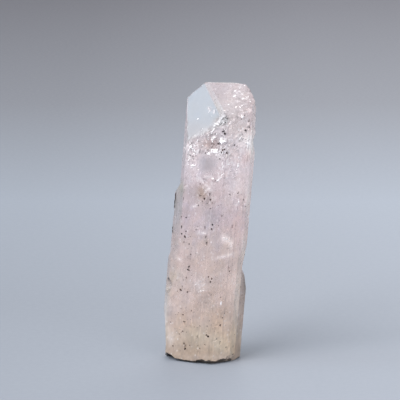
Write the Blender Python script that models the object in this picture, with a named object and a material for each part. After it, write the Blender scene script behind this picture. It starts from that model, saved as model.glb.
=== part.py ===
"""Danburite crystal: one intergrown prism with a wedge-shaped end and a broken foot.

Run with blender --background --python part.py, or from Blender's text editor.
The finished object is in metres, +Z up. It stands on its broken foot at z = 0, in the
middle of which the world's origin lies. Its front looks to -Y, and it leans a little to +X.

The shapes are worked out in millimetres, and scaled to metres once at the end. They are in
the crystal's own axes: u, v and w run along its a, b and c axes, w being the long one. A
crystal face is given by its three Miller indices, which set its direction, and its distance
from the origin of those axes.
"""

import math
import random

import bmesh
import bpy
from mathutils import Matrix, Vector
from mathutils.bvhtree import BVHTree

METRES_PER_MM = 0.001

# Driving dimensions, all in millimetres: how the crystal stands.
LEAN = math.radians(4.76)
SEAT = Vector((-0.86, 0.0, 0.76))

# Edges a, b, c of danburite's cell. Only their ratios count here.
CELL = (8.04, 8.75, 7.73)
LONG_AXIS = Vector((0.0, 0.0, 1.0))

# Blank that each crystal is cut from. Each one ends below the foot, at a depth of its own.
BLANK_SIZE = 140.0

# The main crystal: its prism faces, then the faces of its end.
PRISM = {
    "front left": ((-1, -2, 0), 3.33),
    "front right": ((1, -2, 0), 4.86),
    "right side": ((2, -1, 0), 6.09),
    "back right": ((1, 1, 0), 4.62),
    "back": ((0, 1, 0), 4.66),
    "back left": ((-1, 2, 0), 6.64),
    "left side": ((-8, -1, 0), 5.76),
}
END_FACES = {
    "buried": ((0, 0, -1), 3.0),
    "top": ((-1, 0, 17), 51.45),
    "front dome": ((-1, -8, 8), 36.89),
    "steep left": ((-5, -6, 3), 19.66),
    "left bevel": ((-3, 1, 3), 39.05),
    "right bevel": ((1, 0, 1), 40.38),
    "right shoulder": ((2, 0, 1), 28.20),
    "back dome": ((0, 1, 1), 41.10),
}

# Smaller crystals grown along the main one, each with the planes that end it inside it.
LEFT_CRYSTAL = [
    ((0, 0, -1), 3.1),
    ((-2, -1, 0), 5.46),
    ((-1, 2, 0), 5.43),
    ((-2, 0, 1), 20.29),
    ((1, 0, 0), -2.8),
    ((0, 1, 0), 3.9),
    ((0, -1, 0), 0.4),
]
LEFT_PLATE = [
    ((0, 0, -1), 3.2),
    ((-1, -2, 0), 3.30),
    ((-5, -1, 0), 6.82),
    ((-1, 2, 0), 5.60),
    ((-5, -1, 2), 13.12),
    ((1, -1, 0), 0.12),
    ((0, 1, 0), 3.4),
]
RIGHT_CRYSTAL = [
    ((0, 0, -1), 3.3),
    ((1, -1, 0), 5.06),
    ((1, 0, 0), 7.64),
    ((1, 1, 0), 6.76),
    ((0, 1, 0), 4.1),
    ((-1, 0, 0), -3.7),
    ((2, 0, 1), 13.63),
    ((5, 0, 1), 10.22),
]
BACK_CRYSTAL = [
    ((0, 0, -1), 3.4),
    ((0, 1, 0), 5.15),
    ((-3, 1, 0), 4.49),
    ((3, 1, 0), 2.96),
    ((1, 3, 3), 24.99),
    ((0, -1, 0), -2.0),
]

# Steps up the right edge: the face that ends each one. Each stands further out and ends
# lower than the last.
RIGHT_STEP_TOPS = [((2, 0, 1), 27.2), ((4, -1, 1), 17.2), ((3, 1, 1), 18.7)]
RIGHT_STEP_OUT = 0.14
RIGHT_STEP_BACK = 0.04
RIGHT_STEP_BOTTOM = ((6, -3, -1), 2.92)
RIGHT_STEP_INNER = ((-1, 0, 0), -3.7)

# Thin growth ledges on the prism faces: how many on each face, and the ranges of their sizes.
LEDGES = {
    "front left": 9,
    "front right": 7,
    "right side": 3,
    "back right": 6,
    "back": 10,
    "left side": 6,
}
LEDGE_WIDTH = (0.6, 1.7)
LEDGE_LARGEST_SHARE = 0.6
LEDGE_LENGTH = (5.0, 22.0)
LEDGE_LOWEST_START = -0.1
LEDGE_CLEAR_OF_END = 0.16
LEDGE_RISE = (0.02, 0.06)
LEDGE_RISE_SCATTER = (0.1, 0.9)
LEDGE_SINK = 0.5
LEDGE_SIDE_SLOPE = math.radians(38)
LEDGE_END_SLOPE = math.radians(22)
LEDGE_END_SLANT = (-0.45, 0.15)
LEDGE_MARGIN = 0.25
ON_FACE = 1e-3

# Lens-shaped etch pits on the prism faces.
PITS = {
    "front left": 13,
    "front right": 8,
    "back right": 6,
    "back": 11,
    "left side": 5,
}
PIT_LENGTH = (0.35, 0.85)
PIT_WIDTH_SHARE = 0.5
PIT_DEPTH_SHARE = 0.3
PIT_LIFT = 0.35
PIT_REACH = 8.0
PIT_SIDES = 6
PIT_RINGS = 4
PIT_TOP = 38.0
PIT_HEIGHT_SCATTER = (0.2, 0.8)
PIT_CLEAR_OF_EDGE = 2.0

# Curved chips: a point on the crystal, the direction it is struck from, width and depth.
CHIP_DIVISIONS = 4
CHIPS = [
    ((2.5, -4.15, 46.0), (0.2, -1.0, 0.4), 1.10, 0.16),
    ((3.7, -3.5, 46.7), (0.2, -1.0, 0.3), 1.60, 0.26),
    ((5.1, -2.75, 47.5), (0.4, -1.0, 0.4), 1.30, 0.20),
    ((1.7, -4.6, 45.2), (-0.1, -1.0, 0.3), 1.00, 0.14),
    ((6.9, -0.2, 41.2), (1.0, -0.3, 0.2), 2.40, 0.36),
    ((6.5, 0.2, 48.6), (1.0, -0.4, 0.4), 1.30, 0.16),
    ((5.2, 0.9, 50.9), (0.7, -0.6, 0.7), 1.50, 0.14),
    ((3.7, -0.6, 50.4), (0.1, -0.6, 0.9), 1.90, 0.10),
    ((1.6, -4.7, 31.0), (0.0, -1.0, 0.1), 1.10, 0.10),
    ((1.6, -4.7, 20.6), (0.1, -1.0, 0.0), 1.50, 0.12),
    ((-5.7, -0.8, 33.0), (-0.9, -0.6, 0.1), 1.30, 0.12),
    ((-6.5, 0.6, 12.8), (-1.0, -0.3, 0.1), 1.60, 0.18),
    ((-6.25, 4.15, 40.5), (-1.0, 1.0, 0.2), 1.50, 0.18),
    ((-6.9, 2.4, 26.5), (-1.0, 0.6, 0.1), 1.40, 0.20),
    ((-3.2, 5.1, 21.5), (-0.8, 1.0, 0.1), 1.30, 0.16),
    ((1.6, 5.1, 9.4), (0.8, 1.0, 0.0), 1.60, 0.22),
    ((7.6, 1.7, 8.2), (1.0, 0.6, 0.0), 1.50, 0.16),
    ((-1.2, 4.1, 50.4), (-0.2, 0.9, 0.7), 1.70, 0.12),
    ((2.4, 3.9, 50.2), (0.5, 0.9, 0.7), 1.40, 0.14),
]

# Balls whose surfaces are the two large breaks: the long hollow one that narrows the lower
# left, and the one under the main crystal's lower right. Middle, radius, divisions.
LEFT_BREAK = ((-51.35, 1.5, -1.3), 45.0, 5)
RIGHT_BREAK = ((6.1, -1.9, -1.8), 3.0, 4)

# The foot's large scoops, in the world's axes: middle x and y, radius, depth. Smaller ones
# are strewn between them, clear of the middle. What is left is flat and stands at z = 0.
FOOT_SCOOPS = [
    (-0.8, -4.5, 1.45, 0.66),
    (0.6, -5.2, 1.30, 0.50),
    (-7.3, 0.4, 2.70, 1.05),
    (3.8, -4.0, 1.50, 0.45),
    (5.7, -3.1, 2.00, 0.75),
    (-4.4, 4.0, 2.30, 0.65),
    (1.6, 5.3, 2.30, 0.75),
    (5.3, 4.6, 2.20, 0.60),
    (8.0, 0.1, 2.10, 0.80),
    (-2.9, 0.7, 1.45, 0.28),
    (2.9, 1.0, 1.50, 0.30),
    (-0.3, 2.9, 1.35, 0.22),
    (1.4, -1.9, 1.10, 0.18),
    (-5.2, -2.6, 1.20, 0.28),
]
# The foot's front is broken away higher, so that it stands clear of the floor. Beyond each of
# two lines, given by its direction outwards and its distance, the foot rises to a height.
FOOT_FRONT_LINES = [((-0.469, -0.883), 2.3, 0.42), ((0.476, -0.879), 3.5, 0.66)]
FOOT_FRONT_WIDTH = 1.1
SMALL_SCOOPS = 26
SMALL_SCOOP_RADIUS = (0.8, 1.9)
SMALL_SCOOP_SLOPE = (0.10, 0.20)
FOOT_LAND_RADIUS = 0.8
FOOT_CELL = 0.45
FOOT_HALF_X = 9.0
FOOT_HALF_Y = 6.0
FOOT_BLOCK_HALF = 9.9
FOOT_BLOCK_DEPTH = 12.0

MERGE_DISTANCE = 1e-4
FLAT_ANGLE = math.radians(0.05)
SEED = 41

# The pale pink, clear to milky mineral.
DANBURITE_COLOUR = (0.66, 0.54, 0.52, 1.0)
DANBURITE_ROUGHNESS = 0.12
DANBURITE_IOR = 1.63
DANBURITE_TRANSMISSION = 0.6


def face_normal(indices):
    """Outward direction of a crystal face, from its Miller indices."""
    return Vector([index / edge for index, edge in zip(indices, CELL)]).normalized()


def crystal_to_world():
    """Matrix from the crystal's own axes to the world."""
    return Matrix.Translation(SEAT) @ Matrix.Rotation(LEAN, 4, "Y")


def cut_back(bm, point, normal):
    """Take off what lies beyond one plane, and close the cut."""
    geometry = bm.verts[:] + bm.edges[:] + bm.faces[:]
    cut = bmesh.ops.bisect_plane(
        bm, geom=geometry, dist=MERGE_DISTANCE, plane_co=point, plane_no=normal, clear_outer=True
    )
    rim = [item for item in cut["geom_cut"] if isinstance(item, bmesh.types.BMEdge)]
    bmesh.ops.holes_fill(bm, edges=rim, sides=0)


def grow(planes):
    """Closed convex solid: a blank cut back to each plane, given as a point and a normal."""
    bm = bmesh.new()
    bmesh.ops.create_cube(bm, size=BLANK_SIZE)
    for point, normal in planes:
        cut_back(bm, point, normal)
    bmesh.ops.recalc_face_normals(bm, faces=bm.faces)
    return bm


def face_plane(face):
    """Point and normal of a crystal face, from its indices and its distance."""
    indices, distance = face
    normal = face_normal(indices)
    return normal * distance, normal


def grow_crystal(faces):
    """One crystal bounded by the given faces."""
    return grow([face_plane(face) for face in faces])


def as_object(name, bm):
    """Object with the mesh of a bmesh."""
    mesh = bpy.data.meshes.new(name)
    bm.to_mesh(mesh)
    bm.free()
    body = bpy.data.objects.new(name, mesh)
    bpy.context.collection.objects.link(body)
    return body


def combine(body, tool_bm, operation):
    """Join a solid to the body or take it away, by an exact Boolean."""
    tool = as_object("tool", tool_bm)
    modifier = body.modifiers.new("combine", "BOOLEAN")
    modifier.operation = operation
    modifier.solver = "EXACT"
    modifier.object = tool
    evaluated = body.evaluated_get(bpy.context.evaluated_depsgraph_get())
    result = bpy.data.meshes.new_from_object(evaluated)
    body.modifiers.clear()
    spent = [body.data, tool.data]
    body.data = result
    bpy.data.objects.remove(tool)
    for mesh in spent:
        bpy.data.meshes.remove(mesh)


def shifted(face, outwards):
    """A crystal face moved outwards by a distance, or inwards where that is negative."""
    indices, distance = face
    return indices, distance + outwards


def right_step(number):
    """One of the thin steps that stand out along the upper right edge."""
    out = (number + 1) * RIGHT_STEP_OUT
    back = (number + 1) * RIGHT_STEP_BACK
    return grow_crystal([
        shifted(PRISM["front right"], -back),
        shifted(PRISM["right side"], out),
        shifted(PRISM["back right"], out),
        shifted(END_FACES["top"], -back),
        shifted(END_FACES["front dome"], -back),
        shifted(END_FACES["right bevel"], -back),
        shifted(RIGHT_STEP_INNER, -back),
        shifted(RIGHT_STEP_BOTTOM, back),
        RIGHT_STEP_TOPS[number],
    ])


def across_direction(normal):
    """Direction across a prism face, at right angles to the crystal's length."""
    return LONG_AXIS.cross(normal).normalized()


def face_span(bm, face):
    """Extent of a prism face: its two limits across, and how high up the crystal it reaches."""
    point, normal = face_plane(face)
    across = across_direction(normal)
    on_face = [vertex.co for vertex in bm.verts if abs((vertex.co - point).dot(normal)) < ON_FACE]
    sideways = [position.dot(across) for position in on_face]
    return min(sideways), max(sideways), max(position.dot(LONG_AXIS) for position in on_face)


def ledge(face, span, rise_share, rng):
    """One thin growth ledge, sunk into the prism face that carries it.

    The share sets its rise within the range of rises, so that no two ledges of one face
    stand equally high.
    """
    point, normal = face_plane(face)
    across = across_direction(normal)
    left, right, high = span
    width = min(rng.uniform(*LEDGE_WIDTH), LEDGE_LARGEST_SHARE * (right - left))
    margin = LEDGE_MARGIN + width / 2
    middle = (left + right) / 2
    if right - left > 2 * margin:
        middle = rng.uniform(left + margin, right - margin)
    length = rng.uniform(*LEDGE_LENGTH)
    bottom = rng.uniform(LEDGE_LOWEST_START * high, (1 - LEDGE_CLEAR_OF_END) * high - length)
    least, most = LEDGE_RISE
    outward = normal * (least + (most - least) * rise_share)
    slope_out = normal * math.sin(LEDGE_SIDE_SLOPE)
    slope_across = across * math.cos(LEDGE_SIDE_SLOPE)
    end_out = normal * math.sin(LEDGE_END_SLOPE)
    end_slant = across * rng.uniform(*LEDGE_END_SLANT)
    core = point + across * middle
    return grow([
        (core + outward, normal),
        (core - normal * LEDGE_SINK, -normal),
        (core + across * (width / 2), slope_across + slope_out),
        (core - across * (width / 2), slope_out - slope_across),
        (core + LONG_AXIS * (bottom + length), LONG_AXIS + end_out + end_slant),
        (core + LONG_AXIS * bottom, end_out + end_slant - LONG_AXIS),
    ])


def outer_surface(body, point, normal):
    """Outermost point of the body straight over a point of a prism face."""
    corners = [vertex.co for vertex in body.data.vertices]
    polygons = [polygon.vertices for polygon in body.data.polygons]
    tree = BVHTree.FromPolygons(corners, polygons)
    return tree.ray_cast(point + normal * PIT_REACH, -normal)[0]


def pit(body, face, span, height, rng):
    """Cutter of one lens-shaped etch pit at the given height up a prism face."""
    point, normal = face_plane(face)
    across = across_direction(normal)
    left, right, _ = span
    length = rng.uniform(*PIT_LENGTH)
    depth = PIT_DEPTH_SHARE * length
    margin = PIT_CLEAR_OF_EDGE * length
    sideways = rng.uniform(left + margin, right - margin)
    surface = outer_surface(body, point + across * sideways + LONG_AXIS * height, normal)
    middle = surface + normal * (PIT_LIFT * depth)
    axes = Matrix((across, LONG_AXIS, normal)).transposed().to_4x4()
    stretch = Matrix.Diagonal((PIT_WIDTH_SHARE * length, length, 2 * depth * (1 + PIT_LIFT), 1.0))
    bm = bmesh.new()
    bmesh.ops.create_uvsphere(
        bm, u_segments=PIT_SIDES, v_segments=PIT_RINGS, radius=0.5,
        matrix=Matrix.Translation(middle) @ axes @ stretch,
    )
    return bm


def ball(centre, radius, divisions):
    """Closed ball that bites a curved hollow out of the crystal."""
    bm = bmesh.new()
    place = Matrix.Translation(Vector(centre))
    bmesh.ops.create_icosphere(bm, subdivisions=divisions, radius=radius, matrix=place)
    return bm


def chip(point, struck_from, width, depth):
    """Ball that takes a chip of the given width and depth off a point of the crystal."""
    radius = (width ** 2 / 4 + depth ** 2) / (2 * depth)
    outward = Vector(struck_from).normalized()
    return ball(Vector(point) + outward * (radius - depth), radius, CHIP_DIVISIONS)


def small_scoops(rng):
    """Small scoops strewn over the foot, none of them on the land in its middle."""
    scoops = []
    while len(scoops) < SMALL_SCOOPS:
        x = rng.uniform(-FOOT_HALF_X, FOOT_HALF_X)
        y = rng.uniform(-FOOT_HALF_Y, FOOT_HALF_Y)
        radius = rng.uniform(*SMALL_SCOOP_RADIUS)
        depth = radius * rng.uniform(*SMALL_SCOOP_SLOPE)
        if math.hypot(x, y) > radius + FOOT_LAND_RADIUS:
            scoops.append((x, y, radius, depth))
    return scoops


def foot_height(x, y, scoops):
    """Height of the broken foot over the point x, y of the world."""
    scooped = [
        depth * (1 - ((x - middle_x) ** 2 + (y - middle_y) ** 2) / radius ** 2)
        for middle_x, middle_y, radius, depth in scoops
    ]
    rises = [
        rise * min((x * out_x + y * out_y - distance) / FOOT_FRONT_WIDTH, 1.0)
        for (out_x, out_y), distance, rise in FOOT_FRONT_LINES
    ]
    return max(0.0, *scooped) + max(0.0, *rises)


def foot_cutter(rng):
    """Block under the crystal whose upper side is the surface of the broken foot."""
    scoops = [*FOOT_SCOOPS, *small_scoops(rng)]
    bm = bmesh.new()
    cells = round(2 * FOOT_BLOCK_HALF / FOOT_CELL)
    bmesh.ops.create_grid(bm, x_segments=cells, y_segments=cells, size=FOOT_BLOCK_HALF)
    for vertex in bm.verts:
        vertex.co.z = foot_height(vertex.co.x, vertex.co.y, scoops)
    shell = bmesh.ops.extrude_face_region(bm, geom=bm.faces[:])
    for item in shell["geom"]:
        if isinstance(item, bmesh.types.BMVert):
            item.co.z = -FOOT_BLOCK_DEPTH
    bmesh.ops.recalc_face_normals(bm, faces=bm.faces)
    return bm


def merge_flat_faces(mesh):
    """Join neighbouring triangles that lie in one plane, and close up stray slivers."""
    bm = bmesh.new()
    bm.from_mesh(mesh)
    bmesh.ops.remove_doubles(bm, verts=bm.verts, dist=MERGE_DISTANCE)
    bmesh.ops.dissolve_limit(bm, angle_limit=FLAT_ANGLE, verts=bm.verts, edges=bm.edges)
    bmesh.ops.triangulate(bm, faces=bm.faces)
    bm.to_mesh(mesh)
    bm.free()


def danburite_material():
    """Pale pink, clear to milky danburite."""
    material = bpy.data.materials.new("danburite")
    material.use_nodes = True
    shader = material.node_tree.nodes["Principled BSDF"]
    shader.inputs["Base Color"].default_value = DANBURITE_COLOUR
    shader.inputs["Roughness"].default_value = DANBURITE_ROUGHNESS
    shader.inputs["Metallic"].default_value = 0.0
    shader.inputs["IOR"].default_value = DANBURITE_IOR
    shader.inputs["Transmission Weight"].default_value = DANBURITE_TRANSMISSION
    material.diffuse_color = DANBURITE_COLOUR
    return material


def add_growth(body, spans, rng):
    """Join the side crystals, the steps and the ledges to the main crystal."""
    for faces in (LEFT_CRYSTAL, LEFT_PLATE, RIGHT_CRYSTAL, BACK_CRYSTAL):
        combine(body, grow_crystal(faces), "UNION")
    for number in range(len(RIGHT_STEP_TOPS)):
        combine(body, right_step(number), "UNION")
    for name, count in LEDGES.items():
        for number in range(count):
            share = (number + rng.uniform(*LEDGE_RISE_SCATTER)) / count
            combine(body, ledge(PRISM[name], spans[name], share, rng), "UNION")


def add_damage(body, spans, rng):
    """Take the pits, the chips and the two large breaks away."""
    for name, count in PITS.items():
        for number in range(count):
            height = PIT_TOP * (number + rng.uniform(*PIT_HEIGHT_SCATTER)) / count
            combine(body, pit(body, PRISM[name], spans[name], height, rng), "DIFFERENCE")
    for spot in CHIPS:
        combine(body, chip(*spot), "DIFFERENCE")
    combine(body, ball(*LEFT_BREAK), "DIFFERENCE")


def build_crystal():
    """The whole crystal as one closed solid, standing on its broken foot."""
    rng = random.Random(SEED)
    main_bm = grow_crystal([*PRISM.values(), *END_FACES.values()])
    spans = {name: face_span(main_bm, face) for name, face in PRISM.items()}
    body = as_object("danburite_crystal", main_bm)
    combine(body, ball(*RIGHT_BREAK), "DIFFERENCE")
    add_growth(body, spans, rng)
    add_damage(body, spans, rng)
    body.data.transform(crystal_to_world())
    combine(body, foot_cutter(rng), "DIFFERENCE")
    merge_flat_faces(body.data)
    body.data.transform(Matrix.Scale(METRES_PER_MM, 4))
    body.data.name = "danburite_crystal"
    body.data.materials.append(danburite_material())
    return body


def main():
    """Empty the scene and build the crystal."""
    for old in list(bpy.data.objects):
        bpy.data.objects.remove(old)
    build_crystal()


main()
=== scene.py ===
"""A danburite crystal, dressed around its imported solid.

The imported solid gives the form. A fine skin is laid over it, measured from a line inside it,
and takes its place. On and in the skin stand bright cleavage flakes, dark mineral grains and
pale healed cracks. Lengths are in millimetres until a mesh is made, and in metres in the mesh.
The crystal's own axes are u, v and w, with w along its length.
"""

import logging
import math
from dataclasses import dataclass
from enum import Enum, IntEnum
from itertools import product

import bpy
import numpy as np
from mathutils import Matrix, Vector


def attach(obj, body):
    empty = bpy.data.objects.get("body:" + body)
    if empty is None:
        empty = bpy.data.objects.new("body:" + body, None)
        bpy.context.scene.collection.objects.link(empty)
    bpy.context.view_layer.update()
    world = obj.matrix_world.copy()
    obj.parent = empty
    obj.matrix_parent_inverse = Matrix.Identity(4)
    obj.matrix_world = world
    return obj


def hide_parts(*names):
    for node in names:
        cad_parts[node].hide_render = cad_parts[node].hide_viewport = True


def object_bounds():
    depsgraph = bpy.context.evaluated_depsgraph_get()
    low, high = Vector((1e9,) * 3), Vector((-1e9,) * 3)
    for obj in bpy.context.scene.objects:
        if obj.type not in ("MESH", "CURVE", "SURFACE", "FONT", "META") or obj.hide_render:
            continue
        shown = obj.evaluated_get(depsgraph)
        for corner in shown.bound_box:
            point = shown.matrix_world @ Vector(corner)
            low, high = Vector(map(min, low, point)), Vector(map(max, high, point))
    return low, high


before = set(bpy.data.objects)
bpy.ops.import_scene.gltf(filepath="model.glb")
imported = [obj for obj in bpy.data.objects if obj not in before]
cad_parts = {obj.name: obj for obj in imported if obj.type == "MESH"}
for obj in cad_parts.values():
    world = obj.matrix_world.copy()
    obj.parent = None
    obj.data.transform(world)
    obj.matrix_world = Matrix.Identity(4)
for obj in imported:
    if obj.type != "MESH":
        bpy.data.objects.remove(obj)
CAD_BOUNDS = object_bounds()

Array = np.ndarray
Pair = tuple[float, float]
Triple = tuple[float, float, float]
Colour = tuple[float, float, float, float]
Socket = bpy.types.NodeSocket

METRES_PER_MM = 0.001
BOX_MARGIN = 0.004
FOOT_CLEAR = 1.2
BODY = "root"
NODE = "danburite_crystal"
log = logging.getLogger("crystal")


class Seed(IntEnum):
    """Seeds of the random fields on the skin."""

    STREAKS = 11
    TERRACES = 13
    ETCHING = 15
    LARGE_SHARDS = 21
    SMALL_SHARDS = 22
    BREAK = 23
    CHIPS = 24
    CHIP_RIMS = 25
    NICKS = 31
    TINT_ROWS = 41
    MOTTLE = 42
    FROST = 44
    FINE_MOTTLE = 46
    LARGE_PATCHES = 47
    SMALL_PATCHES = 48
    CLUSTERS = 51
    BENDS = 61


def unit(vectors: Array) -> Array:
    """Vectors scaled to a length of one, along the last axis."""
    return vectors / np.maximum(np.linalg.norm(vectors, axis=-1, keepdims=True), 1e-12)


def ramp(values: Array, low: float, high: float) -> Array:
    """Smooth rise from 0 at low to 1 at high: three times the square less twice the cube."""
    share = np.clip((values - low) / (high - low), 0.0, 1.0)
    return share * share * (3.0 - 2.0 * share)


def noise(points: Array, seed: int, table_size: int = 32) -> Array:
    """Smooth random field in space, from 0 to 1, one unit from knot to knot.

    Random numbers stand on the whole-numbered points of space. Between them the value runs
    by the smooth rise of each coordinate's fraction, multiplied out over the eight corners.

    Args:
        points: Positions, already scaled so that the field's grain is one unit, (n, 3).
        seed: Number that picks the field.
        table_size: Number of knots after which the field repeats.

    Returns:
        One value for each point, (n,).
    """
    table = np.random.default_rng(seed).random((table_size,) * 3)
    base = np.floor(points).astype(int)
    part = points - base
    part = part * part * (3.0 - 2.0 * part)
    total = np.zeros(len(points))
    for corner in product((0, 1), repeat=3):
        knot = (base + corner) % table_size
        weight = np.prod(np.where(np.array(corner) == 1, part, 1.0 - part), axis=1)
        total += weight * table[knot[:, 0], knot[:, 1], knot[:, 2]]
    return total


def fractal(points: Array, seed: int, layers: int = 3) -> Array:
    """Noise laid over itself at double the pitch and half the height, from 0 to 1.

    Args:
        points: Positions, scaled so that the coarsest grain is one unit, (n, 3).
        seed: Number that picks the coarsest field.
        layers: Number of fields laid over each other.

    Returns:
        One value for each point, (n,).
    """
    heights = 0.5 ** np.arange(layers)
    fields = [noise(points * 2.0**layer, seed + layer) for layer in range(layers)]
    return sum(h * field for h, field in zip(heights, fields)) / heights.sum()


def cells(points: Array, size: float, seed: int, side: int = 24) -> tuple[Array, Array]:
    """Irregular cells that fill space, each round a point jittered in a cube of a lattice.

    Args:
        points: Positions, (n, 3).
        size: Side of the lattice's cubes.
        seed: Number that picks the cells.
        side: Number of cubes after which the cells repeat.

    Returns:
        The way from the cell's point to each position, (n, 3), and three random numbers of the
        cell, from -1 to 1, (n, 3).
    """
    table = np.random.default_rng(seed).random((side, side, side, 6))
    base = np.floor(points / size).astype(int)
    nearest = np.full(len(points), np.inf)
    away = np.zeros_like(points)
    numbers = np.zeros_like(points)
    for step in product((-1, 0, 1), repeat=3):
        cube = base + step
        entry = table[tuple((cube % side).T)]
        offset = points - (cube + entry[:, :3]) * size
        distance = (offset**2).sum(axis=1)
        nearer = distance < nearest
        nearest[nearer] = distance[nearer]
        away[nearer] = offset[nearer]
        numbers[nearer] = 2.0 * entry[nearer, 3:] - 1.0
    return away, numbers


def mesh_piece(name: str, points: Array, quads: Array, triangles: Array) -> bpy.types.Object:
    """Object at the origin whose mesh has the given points, in millimetres, and faces.

    Args:
        name: Name of the object and of its mesh.
        points: Positions in the world, (n, 3).
        quads: Four point numbers for each four-sided face, (m, 4).
        triangles: Three point numbers for each three-sided face, (k, 3).

    Returns:
        The linked object.
    """
    mesh = bpy.data.meshes.new(name)
    mesh.vertices.add(len(points))
    mesh.vertices.foreach_set("co", (points * METRES_PER_MM).astype(np.float32).ravel())
    corners = np.concatenate([quads.ravel(), triangles.ravel()]).astype(np.int32)
    mesh.loops.add(len(corners))
    mesh.loops.foreach_set("vertex_index", corners)
    quad_starts = 4 * np.arange(len(quads))
    triangle_starts = 4 * len(quads) + 3 * np.arange(len(triangles))
    starts = np.concatenate([quad_starts, triangle_starts]).astype(np.int32)
    mesh.polygons.add(len(starts))
    mesh.polygons.foreach_set("loop_start", starts)
    mesh.polygons.foreach_set("use_smooth", np.ones(len(starts), bool))
    mesh.update(calc_edges=True)
    mesh.validate()
    piece = bpy.data.objects.new(name, mesh)
    bpy.context.scene.collection.objects.link(piece)
    return piece


def open_grid(rows: int, columns: int) -> Array:
    """Quads of a grid whose points are numbered row by row.

    Args:
        rows: Number of rows of points.
        columns: Number of columns of points.

    Returns:
        Four point numbers for each quad, (m, 4).
    """
    number = np.arange(rows * columns).reshape(rows, columns)
    corners = [number[:-1, :-1], number[1:, :-1], number[1:, 1:], number[:-1, 1:]]
    return np.stack(corners, axis=-1).reshape(-1, 4)


def closed_grid(rows: int, columns: int) -> tuple[Array, Array]:
    """Faces of a grid whose last column joins its first and whose two ends close in a pole.

    Args:
        rows: Number of rows, whose points are numbered row by row.
        columns: Number of columns. The two poles have the numbers after the last point's.

    Returns:
        The quads, (m, 4), and the triangles round the poles, (k, 3).
    """
    number = np.arange(rows * columns).reshape(rows, columns)
    right = np.roll(number, -1, axis=1)
    quads = np.stack([number[:-1], number[1:], right[1:], right[:-1]], axis=-1).reshape(-1, 4)
    pole = np.full(columns, rows * columns)
    first = np.stack([pole, number[0], right[0]], axis=-1)
    last = np.stack([pole + 1, right[-1], number[-1]], axis=-1)
    return quads, np.concatenate([first, last])


def repeated(faces: Array, count: int, step: int) -> Array:
    """Faces of count copies of a shape whose point numbers rise by step from copy to copy."""
    return (faces[None] + step * np.arange(count)[:, None, None]).reshape(-1, faces.shape[1])


def ride_on_crystal(piece: bpy.types.Object, material: bpy.types.Material) -> None:
    """Give a piece its material and let it ride on the crystal's body.

    Args:
        piece: The piece.
        material: Its one material.
    """
    piece.data.materials.append(material)
    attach(piece, BODY)


def within_cad_box(points: Array) -> Array:
    """Positions in millimetres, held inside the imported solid's box."""
    low, high = (np.array(corner) / METRES_PER_MM for corner in CAD_BOUNDS)
    return np.clip(points, low + BOX_MARGIN, high - BOX_MARGIN)


def colour_attribute(piece: bpy.types.Object, name: str, values: Array) -> None:
    """Give each point of a piece's mesh a colour, from three numbers a point.

    Args:
        piece: The piece.
        name: Name of the attribute.
        values: The numbers, (n, 3).
    """
    rows = np.concatenate([values, np.ones((len(values), 1))], axis=1).astype(np.float32)
    attribute = piece.data.attributes.new(name, "FLOAT_COLOR", "POINT")
    attribute.data.foreach_set("color", rows.ravel())


@dataclass(frozen=True)
class CrystalAxes:
    """The crystal's own axes in the world: w leans from upright towards +X."""

    lean: float = math.radians(4.76)
    seat_x: float = -0.86
    seat_z: float = 0.76

    def turn(self) -> Array:
        """Rows of the turn from the crystal's axes to the world's."""
        cos, sin = math.cos(self.lean), math.sin(self.lean)
        return np.array([[cos, 0.0, sin], [0.0, 1.0, 0.0], [-sin, 0.0, cos]])

    def to_world(self, points: Array) -> Array:
        """Positions in the world of positions in the crystal's axes."""
        return points @ self.turn().T + (self.seat_x, 0.0, self.seat_z)

    def to_crystal(self, points: Array) -> Array:
        """Positions in the crystal's axes of positions in the world."""
        return (points - (self.seat_x, 0.0, self.seat_z)) @ self.turn()


class PackedSolid:
    """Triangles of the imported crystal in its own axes, asked where rays leave it."""

    TOLERANCE = 1e-9

    def __init__(self, node: bpy.types.Object, axes: CrystalAxes) -> None:
        """Read the node's triangles.

        Args:
            node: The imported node, which stays as it is.
            axes: The crystal's axes.
        """
        mesh = node.data
        mesh.calc_loop_triangles()
        positions = np.empty(3 * len(mesh.vertices), np.float32)
        mesh.vertices.foreach_get("co", positions)
        corners = np.empty(3 * len(mesh.loop_triangles), np.int32)
        mesh.loop_triangles.foreach_get("vertices", corners)
        world = positions.reshape(-1, 3).astype(float) / METRES_PER_MM
        self.corners = axes.to_crystal(world)[corners].reshape(-1, 3, 3)
        a, b, c = self.corners.transpose(1, 0, 2)
        self.normals = unit(np.cross(b - a, c - a))
        self.low = self.corners[:, :, 2].min(axis=1)
        self.high = self.corners[:, :, 2].max(axis=1)

    def last_crossing(self, origin: Array, directions: Array, near: Array) -> tuple[Array, Array]:
        """Where rays from one point inside the solid leave it for good.

        Seen from the origin, a ray along d leaves through a triangle a, b, c where d.(a x b),
        d.(b x c) and d.(c x a) are positive, at the distance a.(b x c) over the sum of the three.

        Args:
            origin: Start of the rays, (3,).
            directions: Their directions, (n, 3).
            near: Numbers of the triangles to be tried.

        Returns:
            Distance along each ray, and the number of the triangle that it leaves through.
        """
        a, b, c = (self.corners[near, k] - origin for k in range(3))
        sides = [directions @ np.cross(p, q).T for p, q in ((a, b), (b, c), (c, a))]
        volume = (a * np.cross(b, c)).sum(axis=1)
        total = sides[0] + sides[1] + sides[2]
        inside = (np.minimum.reduce(sides) >= -self.TOLERANCE) & (total > self.TOLERANCE)
        reach = np.where(inside, volume / np.where(inside, total, 1.0), -np.inf)
        reach = np.where(reach > 0.0, reach, -np.inf)
        pick = reach.argmax(axis=1)
        return reach[np.arange(len(directions)), pick], near[pick]


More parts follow.
